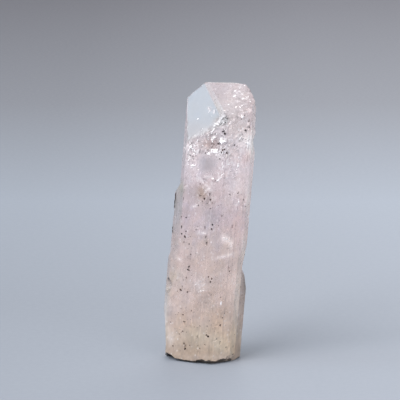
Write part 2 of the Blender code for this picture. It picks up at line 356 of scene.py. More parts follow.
@dataclass(frozen=True)
class FrontView:
    """The camera in front of the crystal, and the square frame that it sees."""

    side: float = 400.0
    target: Triple = (-0.75, 0.0, 30.51)
    distance: float = 500.0
    elevation: float = math.radians(10.0)
    mm_per_pixel: float = 0.1864
    sensor: float = 36.0

    def back(self) -> Array:
        """Direction from the target to the camera."""
        return np.array([0.0, -math.cos(self.elevation), math.sin(self.elevation)])

    def up(self) -> Array:
        """Direction in the world that points up in the frame."""
        return np.array([0.0, math.sin(self.elevation), math.cos(self.elevation)])

    def place(self) -> Array:
        """Position of the camera."""
        return np.array(self.target) + self.distance * self.back()

    def project(self, points: Array) -> Array:
        """Frame coordinates of positions in the world.

        Args:
            points: Positions in the world, (n, 3).

        Returns:
            Frame x to the right and y down, (n, 2).
        """
        away = points - self.place()
        scale = self.distance / (self.mm_per_pixel * -(away @ self.back()))
        half = self.side / 2.0
        return np.stack([half + away[:, 0] * scale, half - (away @ self.up()) * scale], axis=1)

    def add_camera(self) -> bpy.types.Object:
        """Add the camera to the scene and make it the scene's own.

        Returns:
            The camera.
        """
        data = bpy.data.cameras.new("front_camera")
        data.sensor_width = self.sensor
        data.lens = self.sensor * self.distance / (self.side * self.mm_per_pixel)
        data.clip_start = 0.01
        data.clip_end = 20.0
        camera = bpy.data.objects.new("front_camera", data)
        camera.location = self.place() * METRES_PER_MM
        camera.rotation_euler = (math.pi / 2.0 - self.elevation, 0.0, 0.0)
        bpy.context.scene.collection.objects.link(camera)
        bpy.context.scene.camera = camera
        return camera


class Nodes:
    """A new material and a short way to fill it with nodes."""

    def __init__(self, name: str) -> None:
        """Make the material with its shader and its output.

        Args:
            name: Name of the material.
        """
        self.material = bpy.data.materials.new(name)
        self.material.use_nodes = True
        self.tree = self.material.node_tree
        self.shader = self.tree.nodes["Principled BSDF"]
        self.output = self.tree.nodes["Material Output"]

    def add(self, kind: str, settings: dict | None = None, **inputs: object) -> bpy.types.Node:
        """Add a node.

        Args:
            kind: The node's type, without its prefix ShaderNode.
            settings: Values of the node's own properties.
            **inputs: Value or source socket of each input, by its name with _ for a space, or
                by its number with i before it.

        Returns:
            The node.
        """
        node = self.tree.nodes.new("ShaderNode" + kind)
        for key, value in (settings or {}).items():
            setattr(node, key, value)
        for key, value in inputs.items():
            socket = node.inputs[int(key[1:]) if key[1:].isdigit() else key.replace("_", " ")]
            self.put(socket, value)
        return node

    def put(self, socket: Socket, value: object) -> None:
        """Link a source to a socket, or set the socket's value.

        Args:
            socket: Input of a node.
            value: Source socket, or a value.
        """
        if isinstance(value, Socket):
            self.tree.links.new(value, socket)
        else:
            socket.default_value = value

    def shade(self, **inputs: object) -> None:
        """Set or link the shader's inputs, by their names with _ for a space."""
        for key, value in inputs.items():
            self.put(self.shader.inputs[key.replace("_", " ")], value)

    def math(self, operation: str, first: object, second: object = 0.0) -> Socket:
        """Result of a math node on two numbers or sockets.

        Args:
            operation: What the node does.
            first: Number or socket.
            second: Number or socket.

        Returns:
            The node's result.
        """
        node = self.add("Math", {"operation": operation})
        self.put(node.inputs[0], first)
        self.put(node.inputs[1], second)
        return node.outputs[0]

    def times(self, first: object, second: object) -> Socket:
        """Product of two numbers or sockets."""
        return self.math("MULTIPLY", first, second)

    def vector(self, operation: str, first: object, second: object = (0.0, 0.0, 0.0)) -> Socket:
        """Result of a vector math node.

        Args:
            operation: What the node does.
            first: Vector or socket.
            second: Vector or socket, or a number for a SCALE.

        Returns:
            The node's result.
        """
        node = self.add("VectorMath", {"operation": operation})
        self.put(node.inputs[0], first)
        self.put(node.inputs["Scale" if operation == "SCALE" else 1], second)
        return node.outputs[0]

    def attribute(self, name: str) -> Socket:
        """Colour attribute of the piece's mesh."""
        return self.add("Attribute", {"attribute_name": name}).outputs["Color"]

    def parts(self, colour: Socket) -> list[Socket]:
        """The three numbers of a colour."""
        return self.add("SeparateColor", Color=colour).outputs[:3]

    def blend(self, share: object, first: object, second: object) -> Socket:
        """Mix of two colours.

        Args:
            share: How far to go from the first to the second, from 0 to 1.
            first: Colour or socket.
            second: Colour or socket.

        Returns:
            The mixed colour.
        """
        mix = self.add("Mix", {"data_type": "RGBA"}, i0=share)
        self.put(mix.inputs[6], first)
        self.put(mix.inputs[7], second)
        return mix.outputs[2]

    def spread(self, source: Socket, low: float, high: float, start: float, end: float) -> Socket:
        """Source carried from the range low to high to the range start to end, and held there."""
        node = self.add("MapRange", i0=source, i1=low, i2=high, i3=start, i4=end)
        return node.outputs[0]

    def texture(self, turn: float, scale: Triple, size: float, detail: float = 3.0) -> Socket:
        """Noise on the piece's own coordinates.

        Args:
            turn: Angle that turns the pattern upright on the crystal, about Y.
            scale: Relative pitch along the three axes.
            size: Number of the noise's grains to a metre.
            detail: Layers of finer noise.

        Returns:
            The noise, from 0 to 1.
        """
        place = self.turned(turn, scale)
        return self.add("TexNoise", Vector=place, Scale=size, Detail=detail).outputs[0]

    def turned(self, turn: float, scale: Triple) -> Socket:
        """The piece's own coordinates, turned about Y and then scaled.

        Args:
            turn: Angle of the turn.
            scale: Scale along the three axes.

        Returns:
            The coordinates.
        """
        place = self.add("TexCoord").outputs["Object"]
        turned = self.add("Mapping", {"vector_type": "TEXTURE"}, Vector=place,
                          Rotation=(0.0, turn, 0.0))
        return self.add("Mapping", Vector=turned.outputs[0], Scale=scale).outputs[0]

    def cells(self, turn: float, scale: Triple, size: float) -> bpy.types.Node:
        """Random cells on the piece's own coordinates: a Voronoi node, with size cells to a metre."""
        return self.add("TexVoronoi", Vector=self.turned(turn, scale), Scale=size)


@dataclass(frozen=True)
class Pattern:
    """Noise on a piece's own coordinates, whose values over a span become those of a result."""

    size: float
    span: Pair
    result: Pair = (0.0, 1.0)
    detail: float = 3.0
    turn: float = 0.0
    scale: Triple = (1.0, 1.0, 1.0)

    def noise(self, n: Nodes) -> Socket:
        """The noise itself."""
        return n.texture(self.turn, self.scale, self.size, self.detail)

    def add(self, n: Nodes) -> Socket:
        """The noise, carried to its result."""
        return n.spread(self.noise(n), *self.span, *self.result)


@dataclass(frozen=True)
class Specks:
    """Small round specks, one to a cell: cells to a metre, radius in cells, share of empty ones."""

    size: float
    radius: float
    rare: float
    turn: float = 0.2
    scale: Triple = (1.0, 1.0, 0.8)
    core: float = 0.6

    def add(self, n: Nodes) -> Socket:
        """One on the specks and zero between them.

        Args:
            n: Nodes of the material.

        Returns:
            The specks.
        """
        place = n.cells(self.turn, self.scale, self.size)
        chance = n.parts(place.outputs["Color"])[1]
        inside = n.spread(place.outputs["Distance"], self.radius, self.core * self.radius, 0.0, 1.0)
        return n.times(inside, n.math("GREATER_THAN", chance, self.rare))


@dataclass(frozen=True)
class CrystalFinish:
    """Pale danburite, clear to milky, shattered inside where the skin's attributes say so."""

    ior: float = 1.63
    absorption_colour: Colour = (0.90, 0.78, 0.78, 1.0)
    absorption_density: float = 12.0
    white: Colour = (0.97, 0.94, 0.96, 1.0)
    rust: Colour = (0.20, 0.12, 0.10, 1.0)
    warm: Colour = (1.02, 0.995, 0.98, 1.0)
    cool: Colour = (0.98, 1.0, 1.025, 1.0)
    tilt: float = 0.42
    shard_tones: Pair = (0.66, 1.22)
    dark_shards: float = 0.10
    darkening: float = 0.28
    smooth_share: float = 0.85
    bump_strength: float = 0.2
    bump_height: float = 0.00003
    bright_shards: Pair = (0.74, 0.80)
    brightest: float = 0.85
    fleck_strength: float = 0.30
    fine: Pattern = Pattern(2300.0, (0.36, 0.64), (0.93, 1.06), 4.0, 0.1, (1.0, 1.0, 0.6))
    cloud: Pattern = Pattern(330.0, (0.32, 0.68), (0.93, 1.07), 5.0, -0.3, (1.0, 1.0, 0.8))
    hue: Pattern = Pattern(420.0, (0.35, 0.65), turn=0.4, scale=(1.0, 1.0, 0.8))
    choice: Pattern = Pattern(700.0, (0.46, 0.54), turn=0.3)
    grain: Pattern = Pattern(1700.0, (0.3, 0.7), (0.8, 1.2), 4.0, scale=(1.0, 1.0, 0.8))
    flecks: Specks = Specks(1500.0, 0.30, 0.62)
    rusty: Specks = Specks(1900.0, 0.26, 0.66)

    def shards(self, n: Nodes) -> tuple[Socket, Socket]:
        """Random number and random direction of each shard of the shattered part.

        Args:
            n: Nodes of the material.

        Returns:
            The number, from 0 to 1, and the direction, each coordinate from 0 to 1.
        """
        large = n.cells(0.7, (1.0, 1.0, 0.55), 1500.0)
        small = n.cells(-0.9, (1.0, 1.0, 0.5), 3300.0)
        direction = n.blend(self.choice.add(n), large.outputs["Color"], small.outputs["Color"])
        return n.parts(direction)[0], direction

    def colour(self, n: Nodes, crazed: Socket, dusty: Socket, smooth: Socket, number: Socket) -> Socket:
        """Base colour: the skin's tint, which holds painted light, shade and reflection, mottled, with
        shards, white flecks and rusty specks.

        Args:
            n: Nodes of the material.
            crazed: How crazed it is, from 0 to 1.
            dusty: How dusty with rust it is.
            smooth: How mirror-smooth it is.
            number: Random number of the shard.

        Returns:
            The colour.
        """
        plain = n.math("SUBTRACT", 1.0, n.times(smooth, self.smooth_share))
        mottle = n.times(self.fine.add(n), self.cloud.add(n))
        mottle = n.times(n.math("SUBTRACT", mottle, 1.0), plain)
        cast = n.blend(self.hue.add(n), self.warm, self.cool)
        step = n.spread(number, 0.0, 1.0, *self.shard_tones)
        dark = n.math("GREATER_THAN", self.dark_shards, number)
        step = n.math("SUBTRACT", step, n.times(dark, self.darkening))
        step = n.times(n.math("SUBTRACT", step, 1.0), crazed)
        shade = n.times(n.math("ADD", step, 1.0), n.math("ADD", mottle, 1.0))
        base = n.vector("SCALE", n.vector("MULTIPLY", n.attribute("tint"), cast), shade)
        bright = n.times(n.spread(number, *self.bright_shards, 0.0, self.brightest), crazed)
        base = n.blend(bright, base, self.white)
        flecks = n.times(n.times(self.flecks.add(n), self.fleck_strength), plain)
        base = n.blend(flecks, base, self.white)
        return n.blend(n.times(self.rusty.add(n), dusty), base, self.rust)

    def material(self) -> bpy.types.Material:
        """Make the material.

        Returns:
            The material.
        """
        n = Nodes("danburite_skin")
        clear, frost, relief = n.parts(n.attribute("look"))
        crazed, dusty, smooth = n.parts(n.attribute("marks"))
        number, direction = self.shards(n)
        base = self.colour(n, crazed, dusty, smooth, number)
        grain = self.grain.noise(n)
        rough = n.times(frost, n.spread(grain, *self.grain.span, *self.grain.result))
        lean = n.vector("SUBTRACT", direction, (0.5, 0.5, 0.5))
        lean = n.vector("SCALE", lean, n.times(crazed, self.tilt))
        normal = n.vector("ADD", n.add("NewGeometry").outputs["Normal"], lean)
        normal = n.vector("NORMALIZE", normal)
        bump = n.add("Bump", Strength=self.bump_strength, Distance=self.bump_height,
                     Height=n.times(grain, relief), Normal=normal).outputs[0]
        n.shade(Base_Color=base, Roughness=rough, Transmission_Weight=clear, IOR=self.ior, Normal=bump)
        volume = n.add("VolumeAbsorption", Color=self.absorption_colour,
                       Density=self.absorption_density)
        n.put(n.output.inputs["Volume"], volume.outputs[0])
        return n.material


@dataclass(frozen=True)
class FlakeFinish:
    """Bright or pale cleavage flake, pearly, with a faint change of tone from grain to grain."""

    name: str
    colour: Triple
    roughness: float
    dullest: float = 0.86
    rougher: float = 0.08
    ior: float = 1.63
    grain: Pattern = Pattern(1500.0, (0.35, 0.6))
    rough_span: Pair = (0.3, 0.7)

    def material(self) -> bpy.types.Material:
        """Make the material.

        Returns:
            The material.
        """
        n = Nodes(self.name)
        grain = self.grain.noise(n)
        dull = tuple(self.dullest * value for value in self.colour)
        share = n.spread(grain, *self.grain.span, *self.grain.result)
        base = n.blend(share, (*dull, 1.0), (*self.colour, 1.0))
        rough = n.spread(grain, *self.rough_span, self.roughness + self.rougher, self.roughness)
        n.shade(Base_Color=base, Roughness=rough, IOR=self.ior)
        return n.material


@dataclass(frozen=True)
class GrainFinish:
    """Dark, slightly rusty mineral grain."""

    name: str
    colour: Triple
    rust: Triple
    roughness: float = 0.6
    gloss: float = 0.12
    grain: Pattern = Pattern(400.0, (0.4, 0.65), detail=2.0)

    def material(self) -> bpy.types.Material:
        """Make the material.

        Returns:
            The material.
        """
        n = Nodes(self.name)
        base = n.blend(self.grain.add(n), (*self.colour, 1.0), (*self.rust, 1.0))
        n.shade(Base_Color=base, Roughness=self.roughness, Specular_IOR_Level=self.gloss)
        return n.material


@dataclass(frozen=True)
class VeilFinish:
    """Healed crack inside the crystal: a pale film that is open in patches."""

    colour: Colour = (0.93, 0.88, 0.90, 1.0)
    roughness: float = 0.3
    patches: Pattern = Pattern(1300.0, (0.42, 0.62), (0.0, 0.55), 5.0)

    def material(self) -> bpy.types.Material:
        """Make the material.

        Returns:
            The material.
        """
        n = Nodes("healed_crack")
        n.shade(Base_Color=self.colour, Roughness=self.roughness, Alpha=self.patches.add(n))
        return n.material


@dataclass(frozen=True)
class Blob:
    """Soft oval region of the crystal, as seen from the front, that reaches right through it."""

    x: float
    y: float
    wide: float
    high: float
    slant: float = 0.0
    power: float = 2.0

    def share(self, spots: Array) -> Array:
        """How far frame coordinates are in the blob: a bell curve that squares off with power.

        Args:
            spots: Frame coordinates, (n, 2).

        Returns:
            The share, from 0 to 1, (n,).
        """
        right, down = (spots - (self.x, self.y)).T
        cos, sin = math.cos(math.radians(self.slant)), math.sin(math.radians(self.slant))
        across = (right * cos - down * sin) / self.wide
        along = (right * sin + down * cos) / self.high
        return np.exp(-(np.abs(across) ** self.power + np.abs(along) ** self.power))


class Zone(Enum):
    """Kinds of region that change how the crystal looks."""

    CLEAR = "clear"
    MILKY = "milky"
    PINK = "pink"
    GREY = "grey"
    BROWN = "brown"
    CRAZED = "crazed"
    DUSTY = "dusty"
    SHADE = "shade"
    OLIVE = "olive"


# Strength of each region, and its Blob's fields.
ZONES: dict[Zone, list[tuple[float, ...]]] = {
    Zone.CLEAR: [
        (0.7, 207.5, 164.5, 8.5, 8.5, 0, 3.4), (0.5, 212, 216, 8, 14), (0.4, 205, 300, 12, 16),
    ],
    Zone.MILKY: [
        (0.5, 187, 147, 4, 4), (0.35, 229, 107, 10, 8), (0.55, 239, 95, 12, 9), (0.3, 238, 187, 7, 8),
        (0.6, 250, 146, 3.5, 13), (0.45, 248, 200, 3, 18), (0.3, 243, 250, 2.5, 14),
        (0.35, 237, 306, 3, 24), (0.5, 222, 257, 8, 2, 14), (0.25, 231, 254, 6, 1.6, 16),
        (0.5, 195, 206, 4, 1.6, 25), (0.5, 179, 259, 4, 2, -30), (0.35, 203, 285, 7, 5),
        (0.4, 170, 336, 4, 9), (0.15, 208, 357, 20, 2.5), (0.7, 226, 239, 5, 3.5, -35),
        (0.6, 231, 245, 2, 4), (0.6, 203.5, 233, 3.5, 1.5), (0.25, 232, 200, 8, 14),
        (0.6, 245, 139, 7, 10), (0.7, 165.2, 314, 1.2, 17, -2), (0.5, 208, 188, 4, 3),
    ],
    Zone.PINK: [
        (0.45, 212, 97, 3, 9, 24), (0.9, 211, 144, 7, 6), (0.5, 252, 130, 4, 40), (0.5, 247, 158, 6, 9),
        (0.4, 241, 96, 11, 12), (0.4, 238, 225, 9, 22),
    ],
    Zone.GREY: [
        (0.6, 207.5, 164.5, 8.6, 8.6, -4, 3.4), (0.5, 209, 217, 7, 12), (0.45, 168, 303, 3, 20),
        (0.4, 243, 337, 3, 17), (0.5, 224, 120, 5, 5, 40), (0.6, 216, 113, 5, 11),
    ],
    Zone.BROWN: [
        (0.6, 209, 145, 7, 7), (0.6, 205, 196, 9, 10), (0.4, 206, 241, 2.5, 6), (0.5, 195, 317, 4, 3),
        (0.5, 218, 327, 9, 5), (0.5, 230, 314, 4, 3), (0.3, 183, 346, 6, 5), (0.6, 201, 192, 4.5, 6),
    ],
    Zone.CRAZED: [
        (0.9, 216, 141, 17, 14), (0.9, 193, 152, 8, 13), (0.9, 246, 136, 9, 17),
        (0.45, 242, 96, 11, 15), (0.6, 226, 120, 6, 8), (0.3, 217, 121, 6, 6),
        (-0.9, 207.5, 164.5, 8.6, 8.6, -4, 3.4), (0.6, 228, 166, 13, 18), (0.5, 204, 180, 14, 6),
        (0.4, 206, 196, 10, 8), (0.4, 238, 205, 7, 10), (0.4, 203, 284, 9, 6),
    ],
    Zone.DUSTY: [
        (0.9, 205, 197, 9, 9), (0.6, 188, 240, 6, 16), (0.6, 183, 286, 9, 12), (0.6, 213, 280, 9, 9),
        (0.6, 213, 326, 22, 10), (0.6, 182, 338, 9, 16), (0.5, 236, 201, 10, 9), (0.5, 246, 126, 6, 12),
        (0.4, 229, 286, 8, 20),
    ],
    # Darker patches; the narrow ones along the left edge and on the right crystal's outer edge are
    # painted shade.
    Zone.SHADE: [
        (0.20, 218, 109, 3, 7, 25), (0.25, 226, 121, 3, 4, -35), (0.25, 223, 149, 3.5, 3),
        (0.2, 220, 158, 2.5, 2.5), (0.15, 190, 192, 7, 7), (0.24, 236, 122, 9, 9),
        (0.14, 212, 150, 7, 7), (0.14, 186, 166, 6, 17), (0.12, 212, 197, 4, 10),
        (0.10, 184, 241, 6, 6), (0.10, 171, 316, 3, 26), (0.10, 210, 342, 8, 8),
        (0.7, 175.6, 200, 1.5, 8, 3), (0.6, 172.4, 229, 1.4, 4), (0.4, 182, 191, 2, 5, 6),
        (0.9, 245.2, 283, 1.7, 14), (0.4, 206, 241, 2, 5), (0.4, 237, 330, 1.2, 30, 4),
        (0.16, 214, 140, 13, 12),
    ],
    Zone.OLIVE: [
        (0.35, 216, 112, 5, 12), (0.4, 200, 335, 16, 10), (0.5, 221, 347, 9, 8), (0.4, 177, 275, 6, 6),
        (0.5, 181, 187, 4, 5),
    ],
}


def zone_share(zone: Zone, spots: Array) -> Array:
    """How far each frame coordinate is in the regions of one kind, from 0 to 1."""
    shares = [strength * Blob(*fields).share(spots) for strength, *fields in ZONES[zone]]
    return np.clip(np.sum(shares, axis=0), 0.0, 1.0)


@dataclass
class CrystalSkin:
    """Fine skin of the crystal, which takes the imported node's place.

    A grid of rays leaves a line inside the crystal, the spine. Its two parameters are the turn
    round the spine and the way along a profile: up the middle of the foot, out, up the sides,
    and in over the top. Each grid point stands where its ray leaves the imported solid. Points
    next to an edge are drawn onto it, and the growth relief is cut in along the normals.
    """

    solid: PackedSolid
    axes: CrystalAxes
    view: FrontView
    spine_u: float = 0.2
    spine_v: float = 0.5
    spine_low: float = 4.2
    spine_high: float = 43.0
    side_radius: float = 5.6
    top_radius: float = 4.6
    top_height: float = 51.4
    shoulder: float = 49.6
    columns: int = 332
    rows: tuple[int, int, int, int, int] = (34, 20, 184, 32, 24)
    outline_samples: int = 2048
    snap_reach: float = 0.5
    wear: float = 0.05
    crazed_wear: float = 0.20
    fade_cells: int = 2
    streak_depth: float = 0.0025
    terrace_depth: float = 0.003
    terrace_levels: float = 5.0
    etch_depth: float = 0.04
    ripple_depth: float = 0.02
    crease_depth: float = 0.12
    chip_slope: float = 0.30
    chip_ripple_depth: float = 0.015
    chip_unevenness: float = 0.9
    polish: float = 0.97
    low_body_top: Pair = (24.0, 34.0)
    sharp_angle: float = math.radians(14.0)

    POLE_WAYS = np.array([[0.0, 0.0, -1.0], [0.0, 0.0, 1.0]])

    # Chips off the sides and the back: u, v, w and width.
    CHIPS = [
        (-6.5, 0.6, 12.8, 1.6), (-5.7, -0.8, 33.0, 1.3), (6.9, -0.2, 41.2, 2.4),
        (-6.25, 4.15, 40.5, 1.5), (-6.9, 2.4, 26.5, 1.4), (-3.2, 5.1, 21.5, 1.3),
        (1.6, 5.1, 9.4, 1.6), (7.6, 1.7, 8.2, 1.5),
    ]

    # Point round which the foot's break ripples: u and v.
    RIPPLE_MIDDLE = (-3.0, -6.0)

    # Size and slope of the tilted cells where it is crazed.
    SHARDS = [(1.3, 0.13, Seed.LARGE_SHARDS), (0.55, 0.18, Seed.SMALL_SHARDS)]

    # Frame y and colour, down the front.
    TINTS = np.array([
        (85.0, 0.73, 0.64, 0.67), (130.0, 0.71, 0.635, 0.65), (170.0, 0.72, 0.63, 0.66),
        (192.0, 0.595, 0.495, 0.51), (218.0, 0.60, 0.50, 0.525), (245.0, 0.60, 0.50, 0.49),
        (262.0, 0.59, 0.48, 0.455), (282.0, 0.62, 0.505, 0.47), (302.0, 0.62, 0.50, 0.455),
        (320.0, 0.57, 0.445, 0.38), (335.0, 0.53, 0.42, 0.335), (350.0, 0.43, 0.335, 0.265),
    ])
    ZONE_COLOURS = {
        Zone.PINK: (0.72, 0.53, 0.54),
        Zone.GREY: (0.61, 0.595, 0.64),
        Zone.BROWN: (0.50, 0.38, 0.32),
        Zone.MILKY: (0.88, 0.82, 0.83),
        # Dark colour of darker patches, painted shade in part.
        Zone.SHADE: (0.26, 0.24, 0.23),
        Zone.OLIVE: (0.55, 0.50, 0.41),
    }

    # Painted reflection on the mirror-smooth face, the bluish lamp seen in it, above and below, and the
    # steep face that it is part of.
    PAINTED_REFLECTION_HIGH = np.array((0.37, 0.39, 0.435))
    PAINTED_REFLECTION_LOW = np.array((0.385, 0.36, 0.375))
    STEEP_FACE = np.array([-5.0 / 8.04, -6.0 / 8.75, 3.0 / 7.73])

    # Ridge that ends that part: frame x and y of its top, and its slope to the right.
    RIDGE = (205.5, 86.0, 0.48)

    # Clearness and roughness in plain places, and what each kind of place adds to them.
    CLEARNESS = {"plain": 0.30, "window": 0.35, "milky": -0.22, "foot": -0.10}
    FROST = {"plain": 0.30, "noise": 0.10, "window": -0.16, "crazed": -0.12, "foot": 0.08}
    MIRROR_CLEARNESS = 0.35
    MIRROR_FROST = 0.05

    # Painted light and shade on the faces: a painted glow on the first two, where light shows through,
    # and painted shade on the others.
    PAINTED_FACE_LIGHT = {
        "front_right": (0.27, 0.26, 0.23),
        "right_side": (0.40, 0.41, 0.32),
        "right_crystal": (-0.24, -0.21, -0.20),
        "end_face": (-0.31, -0.31, -0.31),
        "steep_face": (-0.34, -0.33, -0.34),
    }
    # Painted shade, with dirt, on what looks down at the foot.
    UNDERSIDE_SHADE = 0.80

    # Patches of tone and hue below the crazed part: their size, both changes and the seed.
    PATCHES = [(2.1, 0.035, 0.022, Seed.LARGE_PATCHES), (0.8, 0.03, 0.012, Seed.SMALL_PATCHES)]
    HUE_CHANGE = (0.6, 0.1, -1.2)

    # Border of the strip up the left edge: frame y and x, and how dark the strip is.
    LEFT_STRIP = np.array([
        (178.0, 184.5, 0.0), (186.0, 183.5, 0.18), (212.0, 182.0, 0.20), (237.0, 179.5, 0.04),
        (270.0, 176.0, 0.06), (300.0, 169.0, 0.10), (350.0, 167.0, 0.06),
    ])
    STRIP_CHANGE = (1.0, 0.55, 0.70)

    def profile(self) -> Array:
        """Points of the profile, one for each row of the grid.

        Returns:
            Distance from the spine and height of each row's point, (r, 2).
        """
        ends = [
            (0.0, 0.0),
            (self.side_radius, 0.0),
            (self.side_radius, self.spine_low),
            (self.side_radius, self.spine_high),
            (self.top_radius, self.shoulder),
            (0.0, self.top_height),
        ]
        runs = [
            np.linspace(start, end, count, endpoint=False)
            for start, end, count in zip(ends, ends[1:], self.rows)
        ]
        return np.concatenate(runs)[1:]

    def row_rays(self, radius: float, height: float, turns: Array) -> tuple[Array, Array]:
        """Origin and directions of one row's rays, through the profile's point at each turn.

        Args:
            radius: Distance of the profile's point from the spine.
            height: Its height.
            turns: Turns of the columns, (n,).

        Returns:
            Start of the rays, (3,), and their directions, (n, 3).
        """
        start = min(max(height, self.spine_low), self.spine_high)
        rise = np.full(len(turns), height - start)
        ways = np.stack([radius * np.cos(turns), radius * np.sin(turns), rise], axis=1)
        return np.array([self.spine_u, self.spine_v, start]), unit(ways)

    def triangles_near(self, height: float) -> Array:
        """Numbers of the triangles that a row's rays can meet.

        Args:
            height: Height of the profile's point.

        Returns:
            Numbers of the triangles, (k,).
        """
        low, high = self.solid.low, self.solid.high
        if height <= self.spine_low:
            return np.flatnonzero(low <= self.spine_low)
        if height >= self.spine_high:
            return np.flatnonzero(high >= self.spine_high)
        return np.flatnonzero((low <= height) & (high >= height))

    def turns(self) -> Array:
        """Turns of the columns, spaced evenly along the outline at half height.

        Returns:
            The turns, (n,).
        """
        fine = np.linspace(0.0, 2.0 * np.pi, self.outline_samples, endpoint=False)
        height = (self.spine_low + self.spine_high) / 2.0
        origin, ways = self.row_rays(self.side_radius, height, fine)
        reach, _ = self.solid.last_crossing(origin, ways, self.triangles_near(height))
        ring = ways * reach[:, None]
        steps = np.linalg.norm(np.roll(ring, -1, axis=0) - ring, axis=1)
        run = np.concatenate([[0.0], np.cumsum(steps)])
        wanted = np.linspace(0.0, run[-1], self.columns, endpoint=False)
        return np.interp(wanted, run, np.append(fine, 2.0 * np.pi))

    def meet_solid(self) -> None:
        """Find where the grid's rays leave the solid, and the plane that each one meets."""
        turns = self.turns()
        profile = self.profile()
        self.shape = (len(profile), self.columns)
        self.points = np.empty((*self.shape, 3))
        self.normals = np.empty((*self.shape, 3))
        for row, (radius, height) in enumerate(profile):
            origin, ways = self.row_rays(radius, height, turns)
            reach, triangle = self.solid.last_crossing(origin, ways, self.triangles_near(height))
            self.points[row] = origin + ways * reach[:, None]
            self.normals[row] = self.solid.normals[triangle]
        self.poles = np.empty((2, 3))
        everything = np.arange(len(self.solid.corners))
        for number, start in enumerate((self.spine_low, self.spine_high)):
            origin = np.array([self.spine_u, self.spine_v, start])
            way = self.POLE_WAYS[number]
            reach, _ = self.solid.last_crossing(origin, way[None], everything)
            self.poles[number] = origin + way * reach[0]

    def neighbours(self, field: Array) -> list[Array]:
        """The field of each point's neighbour to both sides, below and above.

        Args:
            field: Values on the grid, (rows, columns, ...).

        Returns:
            Four fields of the same shape.
        """
        below = np.concatenate([field[:1], field[:-1]])
        above = np.concatenate([field[1:], field[-1:]])
        return [np.roll(field, 1, axis=1), np.roll(field, -1, axis=1), below, above]

    def snap_to_edges(self) -> None:
        """Draw the points next to an edge onto it.

        The move d keeps to the point's own plane, and meets the planes of those neighbours
        whose edge with it lies nearer to it than to them. It is the shortest such move, found
        as the least squares of all these planes.
        """
        matrix = np.einsum("rci,rcj->rcij", self.normals, self.normals) + 1e-4 * np.eye(3)
        right_side = np.zeros(self.points.shape)
        reach = np.zeros(self.shape)
        near_points = self.neighbours(self.points)
        near_normals = self.neighbours(self.normals)
        for point, normal in zip(near_points, near_normals):
            gap = ((point - self.points) * normal).sum(axis=-1)
            alike = (normal * self.normals).sum(axis=-1)
            way = np.abs(gap) / np.sqrt(np.maximum(1.0 - alike**2, 1e-9))
            cell = np.linalg.norm(point - self.points, axis=-1)
            use = (alike < 0.995) & (way <= self.snap_reach * cell + 1e-9) & (cell > 1e-6)
            weight = use.astype(float)[..., None]
            matrix += weight[..., None] * np.einsum("rci,rcj->rcij", normal, normal)
            right_side += weight * normal * gap[..., None]
            reach = np.maximum(reach, use * cell)
        move = np.linalg.solve(matrix, right_side[..., None])[..., 0]
        length = np.linalg.norm(move, axis=-1)
        self.on_edge = (reach > 0.0) & (length <= 0.75 * reach)
        self.points += np.where(self.on_edge[..., None], move, 0.0)

    def edge_fade(self) -> Array:
        """Share of the relief that each point takes: none on an edge, all of it two cells away.

        Returns:
            The share, (rows, columns).
        """
        share = np.where(self.on_edge, 0.0, 1.0)
        for _ in range(self.fade_cells):
            lowest = np.minimum.reduce(self.neighbours(share))
            share = np.minimum(share, lowest + 1.0 / self.fade_cells)
        return share

    def relief(self, points: Array, normals: Array, crazed: Array) -> Array:
        """Depth of the growth and fracture relief at each point, in millimetres.

        Where it is crazed, each of many small cells is tilted a random way.

        Args:
            points: Positions on the solid, (n, 3).
            normals: Directions out of its planes there, (n, 3).
            crazed: How crazed it is there, from 0 to 1, (n,).

        Returns:
            Sum of the relief of growth, crazing, chips and foot, (n,).
        """
        depth = self.growth_relief(points, normals)
        for size, slope, seed in self.SHARDS:
            away, numbers = cells(points, size, seed)
            tilt = numbers - (numbers * normals).sum(axis=1, keepdims=True) * normals
            depth += crazed * slope * (size * 0.6 - (away * tilt).sum(axis=1))
        depth += self.chip_relief(points)
        depth += self.foot_relief(points, normals)
        return np.maximum(depth, 0.0)

    def growth_relief(self, points: Array, normals: Array) -> Array:
        """Depth of the streaks, terraces and etching of the upright faces.

        Streaks are noise drawn out along w. Terraces are such noise cut into even steps.
        Etching is a fractal field of which only the highs cut in, the most low on the body.

        Args:
            points: Positions in the crystal's axes, (n, 3).
            normals: Directions out of the faces there, (n, 3).

        Returns:
            The depth, (n,).
        """
        upright = 1.0 - ramp(np.abs(normals[:, 2]), 0.1, 0.25)
        streaks = self.streak_depth * noise(points * (1.6, 1.6, 0.08), Seed.STREAKS)
        level = self.terrace_levels * noise(points * (0.45, 0.45, 0.06), Seed.TERRACES)
        floor = np.floor(level)
        terraces = self.terrace_depth * (floor + ramp(level - floor, 0.42, 0.58))
        terraces *= ramp(points[:, 2], 2.0, 14.0)
        highs = ramp(fractal(points * (1.1, 1.1, 0.8), Seed.ETCHING), 0.52, 0.74)
        low_body = 1.0 - ramp(points[:, 2], *self.low_body_top)
        etched = (0.25 + 0.75 * low_body) * (self.etch_depth * highs)
        return upright * (streaks + terraces) + etched * upright

    def foot_relief(self, points: Array, normals: Array) -> Array:
        """Depth of the break on what looks down: creased cells, and ripples round a point.

        Args:
            points: Positions in the crystal's axes, (n, 3).
            normals: Directions out of the faces there, (n, 3).

        Returns:
            The depth, (n,).
        """
        broken = ramp(-normals[:, 2], 0.15, 0.5)
        away, numbers = cells(points, 0.9, Seed.BREAK)
        gap = np.hypot(*(points[:, :2] - self.RIPPLE_MIDDLE).T)
        ripples = self.ripple_depth * (1.0 + np.sin(7.0 * gap))
        return broken * (ripples + self.crease_depth * np.abs((away * numbers).sum(axis=1)))

